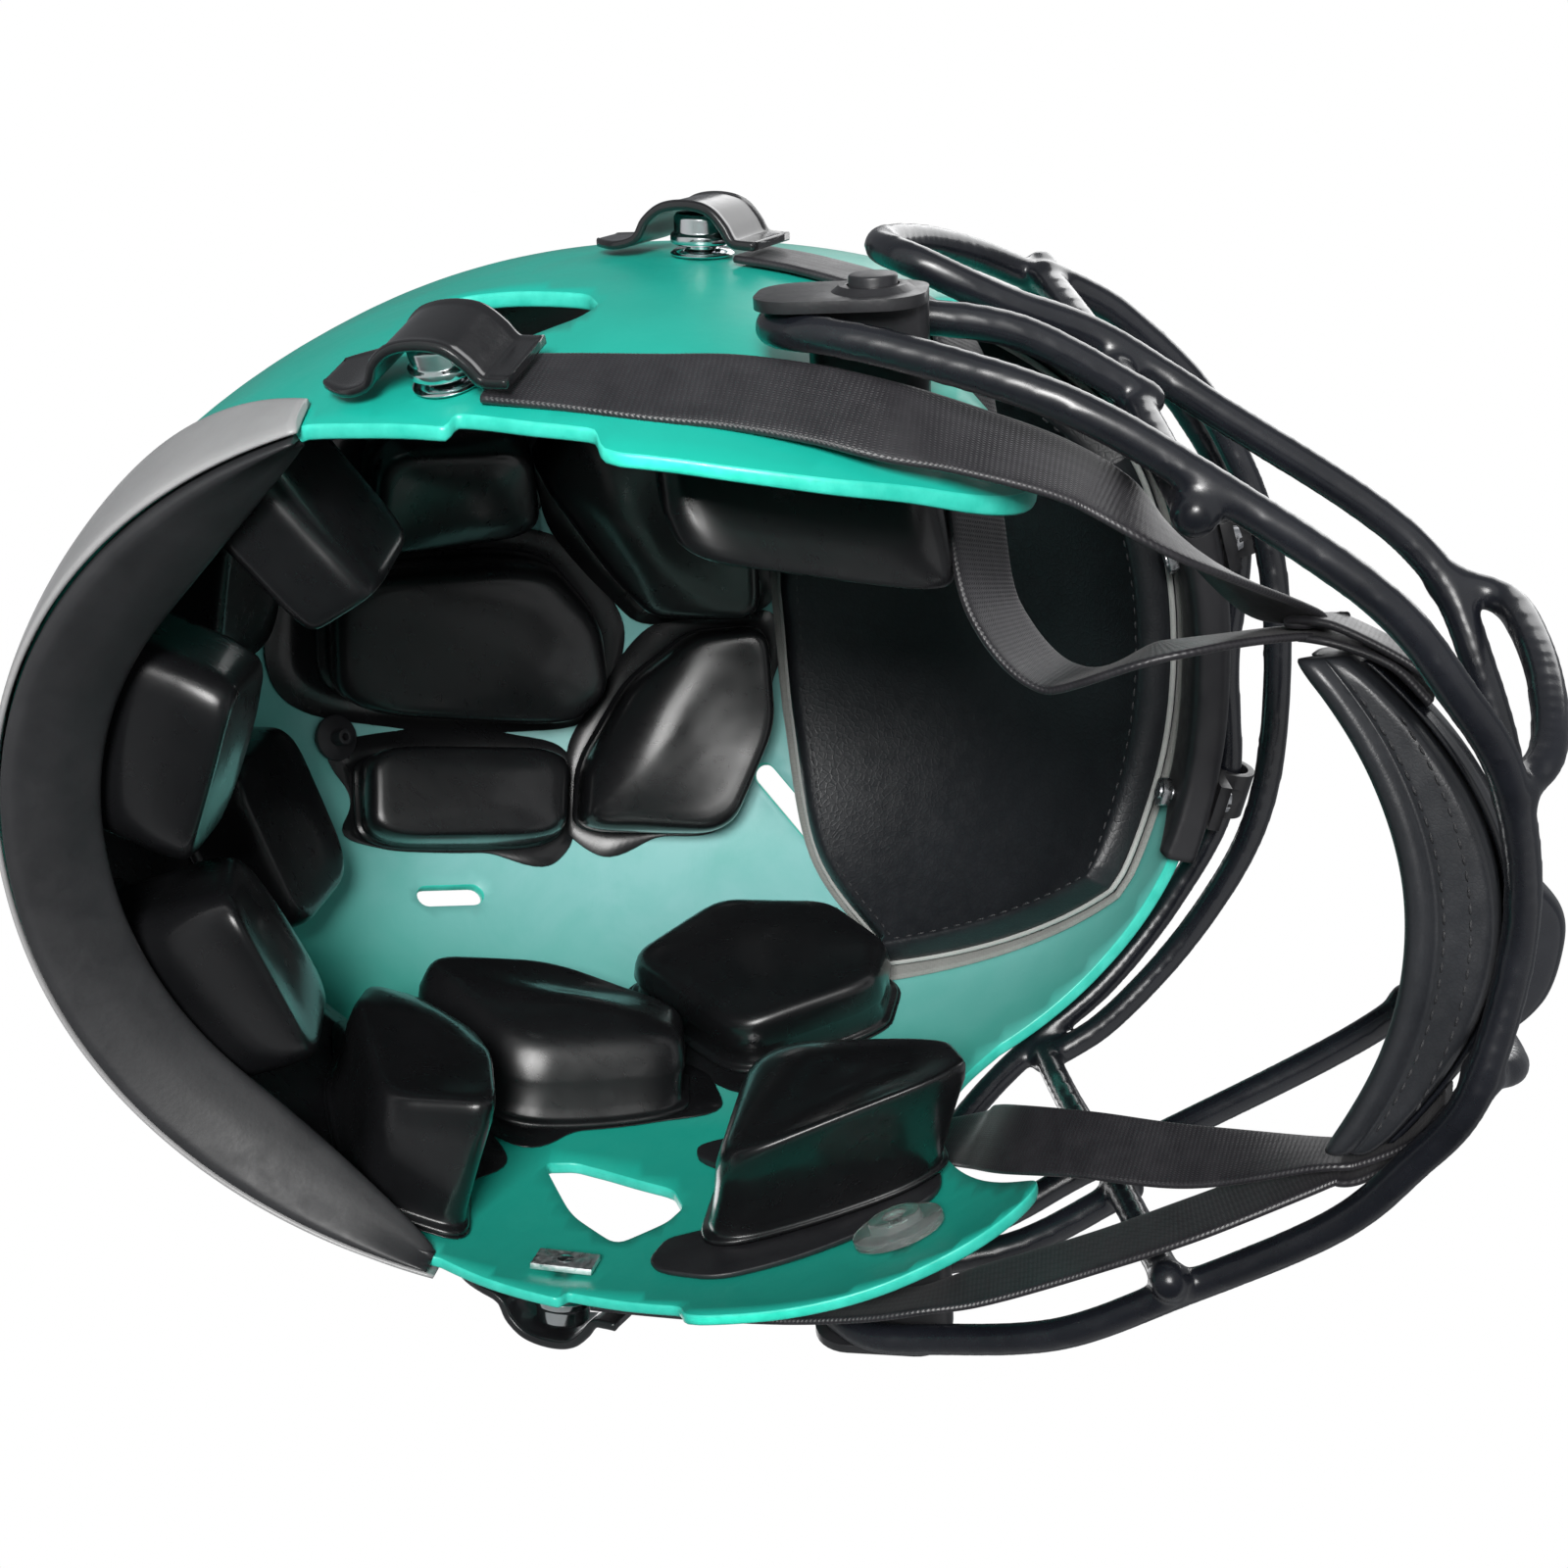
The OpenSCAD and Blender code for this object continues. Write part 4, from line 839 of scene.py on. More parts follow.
def rear_band():
    # folds in from the nape edge over the foot of the pads and gets small over 11 steps at each end
    z0, w, R = 19.0, WALL, []
    for i in np.linspace(0, 44, 133):
        az = 114 + i * 132 / 44
        e = min(1, min(i, 44 - i) / 11)
        g = 0.17 + 0.83 * math.sin(math.radians(90 * e)) ** 0.8
        pts = fine_ring([[0.35, z0 - 5.4], [0.35, z0 - 0.5], [w + 0.9, z0 - 0.5], [w + 0.9, z0 + 5 * g],
                         [14 * g, z0 + 10 * g], [22 * g, z0 + 13 * g], [24.2 * g, z0 + 12.4 * g],
                         [24.6 * g, z0 + 10 * g], [19 * g, z0 + 5.2 * g - 0.6], [14 * g, z0 + 1.6 * g - 1],
                         [3.4 * g + 0.5, z0 - 5.2]],
                        [0.25, 0.1, 0.1, 0.2, 0.3, 0.3, 0.4, 0.4, 0.4, 0.4, 0.3], 72)
        R.append(strip(az, pts))
    dress(loft("rear_band_skin", R), "band", ["rear_band"])


def edge_at(az, off):
    y = wall_pt(az, 153.0, off)[1] - MID + DRAWN_MID
    return float(np.interp(y, EDGE_Y, EDGE_Z))


def front_bumper():
    w, R = WALL, []
    for az in np.linspace(-20, 20, 61):
        t = (az + 20) / 40 * 12
        zo, zi = edge_at(az, 0.0), edge_at(az, w + 1)
        e = min(1, min(t, 12 - t) / 2 + 0.03)
        pts = fine_ring([[-0.7, zo - 0.9], [-0.7, zo + 7 * e], [-0.7, zo + 15 * e], [-2.4, zo + 15 * e],
                         [-3.5, zo + 13 * e], [-3.6, zo - 1.4], [-2, zo - 4.8], [w + 2, zi - 5], [w + 3.6, zi - 2],
                         [w + 3.4, zi + 11 * e], [w + 2, zi + 12.5 * e], [w + 1, zi + 12.5 * e], [w + 1, zi - 1.6]],
                        0.25, 64)
        R.append(strip(az, pts))
    dress(loft("front_bumper_skin", R), "rubber", ["front_bumper"])


rear_bumper()
rear_band()
front_bumper()


# Block pads: welded film over foam, with a flange on the shell
def block_rings(face, d, side, seed, off=0.0, f=0.26, flange=1.08, spread=260.0):
    # off lifts the foot off the shell, f rounds the corners, flange widens the foot,
    # spread is how far in front of the face the lines to the shell start
    C = at(np.asarray(face, float))
    c = C.mean(0)
    eye = c - unit(d) * spread
    T = closed_even(rounded(C, f, 10), 120)
    base = WALL + 0.7 + off

    def out(p):
        return unit(p - eye)

    def foot(k, lift):
        q = c + (T - c) * k
        return hit(q, out(q), base) - out(q) * lift

    axis = out(c)
    soft = T - c
    for _ in range(60):
        soft = 0.5 * soft + 0.25 * (np.roll(soft, 1, 0) + np.roll(soft, -1, 0))
    soft *= np.linalg.norm(T - c, axis=1).mean() / np.linalg.norm(soft, axis=1).mean()

    def level(k, drop):
        # rings grow rounder towards the middle of the face
        w = np.clip((0.95 - k) / 0.5, 0, 1)
        v = (T - c) * (1 - w) + soft * w
        tall = (v @ axis)[:, None] * axis
        q = c + (v - tall) * k + tall * k * k
        return q + out(q) * drop

    rows = [foot(flange - k, lift) for k, lift in ((0, 0.2), (0, 1.5), (0.015, 2.1), (0.045, 2.3), (0.06, 3.2))]
    a, b = foot(flange - 0.06, 6.0), level(1.01, 10.0)
    for t in np.linspace(0.0, 1.0, 7):
        q = a * (1 - t) + b * t
        rows.append(q - (q - q.mean(0)) * 0.006 * math.sin(math.pi * t))
    rows += [level(k, drop) for k, drop in (
        (1.0, 5.46), (0.99, 3.5), (0.972, 1.96), (0.94, 0.84), (0.905, 0.28), (0.86, -0.1), (0.78, -0.35),
        (0.66, -0.8), (0.52, -1.15), (0.36, -1.4), (0.2, -1.5), (0.07, -1.54))]
    R = np.array(rows)
    n_out = out(R)
    for j in range(5, len(R)):
        R[j] += n_out[j] * wavy(R[j], 0.35, 38.0, seed)[:, None]
    R[..., 0] *= side
    return R


CROWN_REAR = [[-22, 144, 180], [20, 147, 174], [41, 83, 215], [31, 71, 223], [8, 72, 225], [-15, 87, 221]]
CROWN_BLOCK_L = [[32, 142, 181], [47, 84, 215], [73, 84, 198], [58, 139, 164]]
CROWN_BLOCK_R = [[25, 136, 190], [24, 88, 221], [56, 84, 208], [61, 124, 182]]
CROWN_WING_L = [[72, 80, 201], [53, 80, 213], [28, 64, 225], [12, 42, 229], [10, 17, 229], [42, 15, 222],
                [75, 30, 207]]
CROWN_WING_R = [[62, 70, 207], [43, 86, 216], [8, 69, 227], [-8, 56, 228], [-9, 19, 228], [32, 17, 223],
                [61, 32, 212]]
UPPER_SIDE = [[97, 59, 163], [88, 33, 188], [86, -5, 184], [89, -26, 163], [95, -24, 147], [103, 17, 128]]
SIDE = [[96, 78, 104], [103, 32, 122], [102, 36, 142], [92, 81, 153], [79, 115, 131]]
REAR_UPPER = [[12, 156, 112], [62, 139, 108], [61, 138, 147], [12, 155, 155]]
REAR_SIDE_L = [[67, 59, 34], [67, 90, 34], [63, 112, 74], [70, 117, 96], [78, 106, 102], [84, 84, 92], [76, 72, 70]]
REAR_SIDE_R = [[66, 71, 34], [55, 91, 34], [58, 97, 76], [70, 76, 76]]
NAPE_L = [[12, 121, 34], [59, 105, 34], [60, 117, 72], [15, 137, 72]]
NAPE_R = [[-42, 110, 34], [5, 131, 34], [9, 140, 72], [-40, 117, 72]]
JAW_PAD = [[77, 3, 23], [58, -60, 46], [72, -51, 80], [80, 3, 84]]
DRAWN, MIRRORED = (("", 1),), (("", -1),)
# name, face, direction to the shell, sides, settings
PADS = [(name + tag, face, d, side, kw) for name, face, d, sides, kw in (
    ("crown_rear_pad", CROWN_REAR, (0.05, 0.5, 0.86), DRAWN, dict(f=0.3, flange=1.03, spread=500)),
    ("crown_block_pad_left", CROWN_BLOCK_L, (0.5, 0.5, 0.7), DRAWN, dict(flange=1.04, spread=500)),
    ("crown_block_pad_right", CROWN_BLOCK_R, (0.35, 0.45, 0.82), MIRRORED, dict(flange=1.03, spread=500)),
    ("crown_wing_pad_left", CROWN_WING_L, (0.33, 0.36, 0.87), DRAWN, dict(f=0.24, flange=1.02, spread=500)),
    ("crown_wing_pad_right", CROWN_WING_R, (0.2, 0.36, 0.91), MIRRORED, dict(f=0.24, flange=1.02, spread=500)),
    ("upper_side_pad", UPPER_SIDE, (0.96, 0.02, 0.28), BOTH, dict(f=0.2, flange=1.03, spread=400)),
    ("side_pad", SIDE, (0.86, 0.12, -0.45), BOTH, dict(f=0.24, flange=1.04, spread=220)),
    ("rear_upper_pad", REAR_UPPER, (0.22, 0.95, 0.12), BOTH, {}),
    ("rear_side_pad_left", REAR_SIDE_L, (0.93, 0.36, 0), DRAWN, dict(f=0.24, flange=1.02, spread=400)),
    ("rear_side_pad_right", REAR_SIDE_R, (0.8, 0.6, 0), MIRRORED, dict(flange=1.06, spread=400)),
    ("nape_pad_left", NAPE_L, (0.34, 0.94, 0.05), DRAWN, dict(f=0.24, flange=1.02, spread=400)),
    ("nape_pad_right", NAPE_R, (-0.4, 0.92, 0.05), DRAWN, dict(f=0.24, flange=1.02, spread=400)),
    ("jaw_pad", JAW_PAD, (0.9, 0.2, 0.3), BOTH, dict(off=2.4, flange=1.0, spread=500)),
) for tag, side in sides]
# pads whose dark painted-shade sheets reach across wider gaps
WIDE_SHADE_SHEETS = ("crown_rear_pad", "crown_block_pad_right", "rear_side_pad_right", "nape_pad_right")


def pads():
    feet = {}
    for k, (name, face, d, side, kw) in enumerate(PADS):
        R = block_rings(face, d, side, k + 2, **kw)
        feet[name] = R[0]
        dress(loft(name + "_film", R), "pad", [name])
    # painted shade: a dark sheet of pad film runs on over the shell wherever the next pad is close, standing in for
    # the shade in the gaps
    crown = {n: P for n, P in feet.items() if not n.startswith("jaw")}
    for k, (name, P) in enumerate(crown.items()):
        rest = np.vstack([v for n, v in crown.items() if n != name])
        gap = np.linalg.norm(P[:, None] - rest[None], axis=2).min(1)
        w = np.where(gap < (44 if name in WIDE_SHADE_SHEETS else 26), gap / 2 + 1.0, 0.6)
        for _ in range(10):
            w = 0.5 * w + 0.25 * (np.roll(w, 1) + np.roll(w, -1))
        n = outward(P)
        out = square_to(P - P.mean(0), n)
        q = P + out * w[:, None]
        off = WALL + 0.72 + 0.02 * k
        ring = ((P - out * 2, 0), (P, 0), (q, 0), (q + out * 0.2, 0.2), (q, 0.4), (P, 0.4), (P - out * 2, 0.4))
        rows = [onto(p, n, off + o) for p, o in ring]
        R = np.stack(rows + rows[:1], 1)
        o = loft(name + "_shade_sheet", np.vstack([R, R[:1]]), closed=False, caps=False)
        dress(o, "pad")


pads()


def nape_shade_sheet():
    # painted shade: a dark sheet of pad film over the shell round the nape pads, standing in for the shade there
    R = []
    for az in np.arange(119.0, 241.5, 1.5):
        t = np.clip(min(az - 119, 241 - az) / 20, 0, 1)
        top = 50 + 62 * t * t * (3 - 2 * t) + 2.5 * math.sin(az * 0.35)
        z = np.linspace(22, top, 16)
        R.append(strip(az, np.array([(WALL + 0.65, v) for v in z] + [(WALL + 0.25, v) for v in z[::-1]])))
    dress(loft("nape_shade_sheet", R), "pad")


nape_shade_sheet()


# Brow pad with stitching, piping and grey backing
HEART = A(0, MID - 20, 120)
BROW_REAR = A([0, 15, 248], [48, 12, 241], [88, 2, 216], [106, -24, 183])
BROW_FRONT = A([0, -116, 171], [27, -112, 170], [48, -106, 167], [64, -98, 160])
REAR_LINE, FRONT_LINE = spline(BROW_REAR, 60), spline(BROW_FRONT, 60)
BROW_LOW, BROW_EDGE, BROW_FULL = WALL + 2.8, 4.0, 11.0    # underside, thickness at the edge and in the middle
BROW_HALF, BROW_TALL = 118.0, 125.0    # half length and height along the face


def on_line(L, t):
    return sample(L, np.arange(len(L)), np.abs(t) * (len(L) - 1))


def brow_pt(u, v, off):
    # u runs from -1 at the right end to 1 at the left end, v from 0 at the rear to 1 at the front
    u, v = np.broadcast_arrays(np.asarray(u, float), np.asarray(v, float))
    # the left end hangs a little lower, as in the photo
    u = np.where(u > 0.4, u + 0.11 * np.clip((u - 0.4) / 0.6, 0, 1) ** 1.5, u)
    t, v = np.clip(u, -1, 1), v[..., None]
    q = at(on_line(REAR_LINE, t)) * (1 - v) + at(on_line(FRONT_LINE, t)) * v
    q[..., 0] *= np.sign(u) * np.maximum(np.abs(u), 1)
    d = unit(q - HEART)
    p = hit(HEART, d, 0.0)
    return p + (hit(HEART, d, 1.0) - p) * np.asarray(off)[..., None]


def brow_grid(grow, nu, nv):
    U, V = np.meshgrid(crowded(nu, 1.2), 0.5 + 0.5 * crowded(nv, 1.25), indexing="ij")
    return U * (1 + grow), -grow + V * (1 + grow * 1.2), U, V


def edge_gap(U, V, half, tall):
    return np.minimum((1 - np.abs(U)) * half, np.minimum(V, 1 - V) * tall)


def panel(name, low, top, GU, GV):
    # closed panel between two offsets from the shell face, with a rolled edge
    nu, nv = GU.shape
    n = nu * nv
    V = np.vstack([brow_pt(GU, GV, k).reshape(-1, 3) for k in (low, top)])
    F = []
    for i in range(nu - 1):
        for j in range(nv - 1):
            a, b, c, d = i * nv + j, i * nv + j + 1, (i + 1) * nv + j + 1, (i + 1) * nv + j
            F += [(a, b, c, d), (n + a, n + d, n + c, n + b)]
    edge = [i * nv for i in range(nu)] + [(nu - 1) * nv + j for j in range(1, nv)] \
        + [i * nv + nv - 1 for i in range(nu - 2, -1, -1)] + [j for j in range(nv - 2, 0, -1)]
    for a, b in zip(edge, edge[1:] + edge[:1]):
        F.append((a, b, n + b, n + a))
    return make(name, V, F)


def bulge(V):
    return (BROW_FULL - BROW_EDGE) * (0.86 + 0.14 * np.sin(np.pi * V))


def lines_round(corners, n):
    # n points along each straight line between two corners
    t = np.linspace(0, 1, n)[:, None]
    return [A(*a) + (A(*b) - A(*a)) * t for a, b in corners]


def brow():
    GU, GV, U, V = brow_grid(0.0, 150, 110)
    e = edge_gap(U, V, BROW_HALF, BROW_TALL)
    th = BROW_EDGE + bulge(V) * rise(e / 5.0) + wavy(brow_pt(GU, GV, 0.0), 0.4, 60.0, 5) * np.clip(e / 12, 0, 1)
    dress(panel("brow_pad_leather", BROW_LOW, BROW_LOW + th, GU, GV), "brow", ["brow_pad"])
    # dashed stitching along the seam
    a, b = 1 - 6.5 / BROW_HALF, 6.5 / BROW_TALL
    ends = [(-a, b), (a, b), (a, 1 - b), (-a, 1 - b), (-a, b)]
    objs = []
    for S in lines_round(zip(ends, ends[1:]), 900):
        P = brow_pt(S[:, 0], S[:, 1], BROW_LOW + BROW_EDGE + bulge(S[:, 1]) - 0.12)
        objs += stitches(P, -outward(P), 4.2, 2.9, 0.38)
    dress(join(objs, "brow_stitching"), "thread")
    # backing, with a wider left end
    GU, GV, U, V = brow_grid(0.035, 90, 70)
    e = edge_gap(U, V, 122.0, 130.0)
    GU = np.where(U > 0, GU + 0.09 * U ** 4 * (1 - V), GU)
    low = WALL + 0.75
    o = panel("brow_backing_fabric", low, low + 1.25 * rise(e / 1.2) + 0.05, GU, GV)
    dress(o, "backing", ["brow_pad_backing"])
    # piping round the brow pad
    q = 0.004
    ends = ((-1, -q), (1, -q)), ((1, 0), (1, 1)), ((1, 1 + q), (-1, 1 + q)), ((-1, 1), (-1, 0))
    ring = np.vstack(lines_round(ends, 200))
    P = brow_pt(ring[:, 0], ring[:, 1], WALL + 4.2)
    P = even(np.vstack([P, P[:1]]), 2.0)
    T = headings(P)
    N = square_to(outward(P), T)
    dress(loft("brow_piping", round_rings(P, N, np.cross(T, N), 0.85, 10)), "piping")


def stitches(P, N, pitch, length, r):
    # short raised threads, one after another, along a line
    d, out, s = run(P), [], pitch / 2
    bow = A(-0.5, 0.25, 0.5, 0.5, 0.25, -0.5)[:, None] * r
    thick = A(0.45, 0.9, 1, 1, 0.9, 0.45) * r
    while s + length < d[-1]:
        ts = np.linspace(s, s + length, 6)
        n = unit(sample(N, d, ts))
        c = sample(P, d, ts) + n * bow
        R = round_rings(c, n, np.cross(headings(c), n), thick, 6)
        out.append(loft("st", R, uv=(np.linspace(0, length * MM, 6), np.linspace(0, 0.002, 6))))
        s += pitch
    return out


brow()


# Plates under the jaw pads
def jaw_plates():
    C = A([24, 31], [20, 25], [4, 21], [-14, 30], [-34, 42], [-52, 54], [-42, 90], [-16, 98], [16, 98], [24, 93],
          [22, 86], [6, 80], [6, 48], [22, 44])
    L = closed_even(rounded(C, 0.34, 8), 150)
    m = A(-16, 62)
    for tag, s in BOTH:
        rows = [side_pt(m + (L - m) * k, WALL + off, s) for k, off in (
            (0.02, 0.75), (0.5, 0.75), (0.97, 0.75), (0.995, 0.9), (1, 1.3), (1, 2.2), (0.993, 2.5), (0.98, 2.65),
            (0.5, 2.65), (0.02, 2.65))]
        dress(loft("jaw_plate" + tag + "_shell", rows), "rubber", ["jaw_plate" + tag])


jaw_plates()


# Face mask: wires welded together and dipped, so the joints get soft fillets
JAW = [[0, -176, 12.3], [36, -168.6, 4.3], [56, -156.5, 4.4], [74, -141.4, 5.8], [96, -109, 8.8],
       [112, -81, 10.4], [121, -50.3, 16.6], [124, -35, 20], [124, -25.6, 26.4], [124, -22, 33],
       [124, -24.5, 40.3], [124, -35, 46], [123, -44, 47.8], [118, -70.8, 51.7], [102, -98.6, 56.2]]
MOUTH = [[0, -182.7, 58], [36.5, -174, 65.3], [64, -158.4, 75.2], [96, -112.2, 75.8], [112, -87, 77],
         [121, -67.5, 69.5], [130, -49.6, 68.2], [132, -42, 75.7], [132, -39.3, 85.5], [131, -41.4, 97.7],
         [128, -48.2, 114.2], [122, -59, 131], [114, -72, 144]]
EYE = [[0, -137.5, 141], [41, -134, 147.6], [78, -117.7, 151.4], [104, -94.2, 142.7], [116, -74.7, 137]]
BROW = [[0, -126.2, 172], [42, -127.3, 170.2], [74, -112.6, 165], [98, -92.4, 153.6], [112, -73, 144]]
PILLAR = [[91, -106.3, 6.2], [95.6, -101.6, 28], [100.5, -96.5, 52], [105, -91.2, 75.3], [111, -82, 110],
          [115.5, -73.5, 146]]
UPRIGHT = [[55, -166.5, 74], [51.5, -179, 71], [48, -181.5, 51], [43, -181, 32], [37, -178, 16], [33, -170.5, 7]]


def whole(P):
    P = at(A(*P))
    return np.vstack([P[::-1][:-1] * A(-1, 1, 1), P])


def blob(c, r):
    e, a = np.radians(np.arange(-80, 81, 20))[:, None], turn(14)
    round_part = np.broadcast_arrays(np.cos(e) * np.cos(a), np.cos(e) * np.sin(a), np.sin(e))
    return loft("blob", c + r * np.stack(round_part, -1))


def mask():
    # middle line of each wire and the size of the balls at its ends
    wires = [(whole(P), 1.02) for P in (JAW, MOUTH, EYE, BROW)]
    wires += [(at(A(*P)) * A(s, 1, 1), 1.3) for P in (PILLAR, UPRIGHT) for s in (1, -1)]
    parts = []
    for P, ball in wires:
        parts += [loft("w", tube_rings(P, WIRE)), blob(P[0], WIRE * ball), blob(P[-1], WIRE * ball)]
    o = join(parts, "mask_wires")
    modify(o, "REMESH", mode="VOXEL", voxel_size=0.0011, adaptivity=0.0, use_smooth_shade=True)
    modify(o, "SMOOTH", factor=0.5, iterations=18)
    # the smoothing thins the wires, so they are brought back to their size
    lines = np.vstack([even(spline(P, 16), 0.8) for P, ball in wires])
    tree = KDTree(len(lines))
    for i, p in enumerate(lines):
        tree.insert(p, i)
    tree.balance()
    n = len(o.data.vertices)
    V, N = np.empty(n * 3), np.empty(n * 3)
    o.data.vertices.foreach_get("co", V)
    o.data.vertices.foreach_get("normal", N)
    V, N = V.reshape(-1, 3) / MM, N.reshape(-1, 3)
    grow = WIRE - float(np.median([tree.find(p)[2] for p in V]))
    o.data.vertices.foreach_set("co", ((V + N * grow) * MM).ravel())
    o.data.update()
    soften(o.data)
    dress(o, "wire", ["jaw_bar", "mouth_bar", "eye_bar", "brow_bar", "pillar_left", "pillar_right",
                      "upright_left", "upright_right"])


mask()

# Chin cup
CX = unit(A(0.97, -0.084, -0.229))
CY = square_to(A(0.05, 0.98, 0.19), CX)
CZ = np.cross(CX, CY)
CH = at([2.5, -154, 21])
HALF, TALL = 56.0, 34.0


def cup_at(x, y, z):
    return CH + CX * x + CY * y + CZ * z


def cup_rear(x):
    return 20.5 * (abs(x) / HALF) ** 2


def cup_front(x):
    return cup_rear(x) - 18.5 + 7.5 * (abs(x) / HALF) ** 2


def cup_tall(x):
    return TALL - (TALL - 25) * (abs(x) / HALF) ** 2


def cup_ring_liner(x, e):
    r, f, h = cup_rear(x), cup_front(x), cup_tall(x)
    m = A((r + f) / 2, h * 0.4)
    # a flat band under the floor, then a seam and a round roll along the rear edge
    roll = [[r - 3.2 + 3.3 * math.cos(t), 2.5 + 3.3 * math.sin(t)] for t in np.radians(np.linspace(-128, 140, 22))]
    front = A([r - 4.4, 8.4], [f + 8.6, 9.5], [f + 7.4, h - 3], [f + 5, h], [f + 1.4, h - 0.6], [f - 1.2, h - 4],
              [f - 1.8, h * 0.5], [f - 1, 4], [f + 0.6, 0.9], [f + 2.0, 0.35], [r - 7.0, 0.35])
    soft = rounded(front, [0.4] * 8 + [0.3, 0.3, 0.1], 5)
    pts = closed_even(np.vstack([roll, soft[3:], [[r - 6.5, 0.75]]]), 110)
    pts = m + (pts - m) * e
    return np.stack([cup_at(x, a, b) for a, b in pts])


def cup():
    # the liner gets rounder and smaller over the last 6 mm at each end
    xs = crowded(110, 1.15) * HALF
    R = np.array([cup_ring_liner(x, 0.8 + 0.2 * rise((HALF - abs(x)) / 6.0)) for x in xs])
    # slow waves in the leather
    R = R + unit(R - R.mean(1, keepdims=True)) * wavy(R, 0.22, 30.0, 11)[..., None]
    dress(loft("cup_liner_leather", R), "cup", ["chin_cup_liner"], "chin_cup")
    # two rows of stitches along the band
    objs = []
    for back, share in ((8.0, 0.93), (13.4, 0.8)):
        P = np.stack([cup_at(x, cup_rear(x) - back, 0.25) for x in np.linspace(-1, 1, 300) * HALF * share])
        objs += stitches(P, np.tile(-CZ, (len(P), 1)), 3.6, 2.5, 0.3)
    dress(join(objs, "cup_stitching"), "thread", body="chin_cup")
    # hard shell on the front
    R = []
    for x in np.linspace(-1, 1, 121) * HALF * 0.972:
        f, h = cup_front(x), cup_tall(x)
        b = 10 * math.exp(-((abs(x - 14) / 18.0) ** 4))
        pts = A([f - 1.6, 6], [f - 2.25, h * 0.5], [f - 1.7, h - 4.6], [f - 3.4, h - 4.9],
                [f - 4.4 - 0.55 * b, h * 0.74], [f - 4.6 - b, h * 0.58], [f - 4.4 - b, h * 0.34],
                [f - 3.8 - 0.6 * b, 9], [f - 3.1, 6.2])
        pts = closed_even(rounded(pts, [0.2, 0.3, 0.2, 0.2, 0.45, 0.45, 0.45, 0.45, 0.2], 5), 60)
        R.append(np.stack([cup_at(x, a, b2) for a, b2 in pts]))
    dress(loft("cup_hard_shell", R), "wire", ["chin_cup_shell"], body="chin_cup")


cup()

# Straps
GAP = 0.5 + STRAP_T / 2
# where the straps lie on the shell: y, z and for the lower ones the height above it
LOW_WRAP = A([-47, 15, 6.5], [-33, 16, 4.6], [-16, 17.3, 2.6], [0, 18.2, 0.9], [17, 20.2, 0.2], [34, 22.2, 0.2])
HIGH_WRAP = A([-38, 99], [-20, 106.6], [-5, 111.8])


def cup_strap(x, lift):
    return cup_at(x, cup_front(x) - 5 - lift, 13)


def cup_turn(s, lift):
    return [cup_strap(s * HALF * 0.8, lift), cup_strap(s * HALF * 0.95, lift),
            cup_at(s * (HALF + 1.6 + lift), cup_rear(HALF) - 8, 13),
            cup_at(s * (HALF + 3 + lift), cup_rear(HALF) + 1, 13)]


def turn_facing(s):
    return [-CY, unit(CX * s * 0.45 - CY), unit(CX * s - CY * 0.25), CX * s]


# middle of each strap between cup and shell and the way its flat faces there, left and right
LOW_MID = {1: [[82, -112, 17.5], [94.5, -87, 18], [103.5, -63, 16.5]],
           -1: [[-80.5, -104, 22.5], [-95, -84, 20], [-103.5, -62, 17.5]]}
HIGH_MID = {1: [[74, -112, 31], [78, -87, 40], [87, -69, 54], [101, -60, 75], [112.5, -54, 90]],
            -1: [[-52, -103, 37], [-43, -81, 43], [-55, -66, 53], [-74, -61, 64], [-96, -59, 77], [-112.5, -54, 90]]}
HIGH_FACE = {1: A([0.9, -0.3, 0.2], [0.85, -0.5, 0.25], [0.65, -0.75, 0.2], [0.6, -0.8, 0.1], [0.8, -0.6, 0.05]),
             -1: A([-0.95, 0.05, 0.2], [-0.85, -0.5, 0.25], [-0.35, -0.9, 0.2], [-0.3, -0.95, 0.15],
                   [-0.6, -0.8, 0.1], [-0.8, -0.6, 0.05])}


def tipped(N, shares):
    # the right straps show more of their flat from below
    return [unit(q + A(-0.40, -0.16, -0.90) * t) for q, t in zip(N, shares)]


def strap_lines(kind, s):
    if kind == "lower":
        wrap, mid, lift, above = LOW_WRAP[:, :2], LOW_MID[s], GAP + STRAP_T + 2, GAP + LOW_WRAP[:, 2]
        face = [A(s * 0.9, -0.36, -0.12), A(s * 0.93, -0.3, -0.15), A(s * 0.95, -0.22, -0.18)]
    else:
        wrap, mid, lift, above, face = HIGH_WRAP, HIGH_MID[s], GAP, GAP + 0.2, list(HIGH_FACE[s])
    P = cup_turn(s, lift) + list(at(A(*mid))) + list(side_pt(wrap, -above, s))
    N = turn_facing(s) + face + list(outward(side_pt(wrap, 0, s)))
    if s < 0 and kind == "lower":
        N[5:] = tipped(N[5:], (0.3, 0.6, 0.8, 0.8, 0.65, 0.4, 0.15, 0))
    elif s < 0:
        N[5:9] = tipped(N[5:9], (0.5, 0.9, 0.9, 0.5))
    return np.array(P), np.array(N)


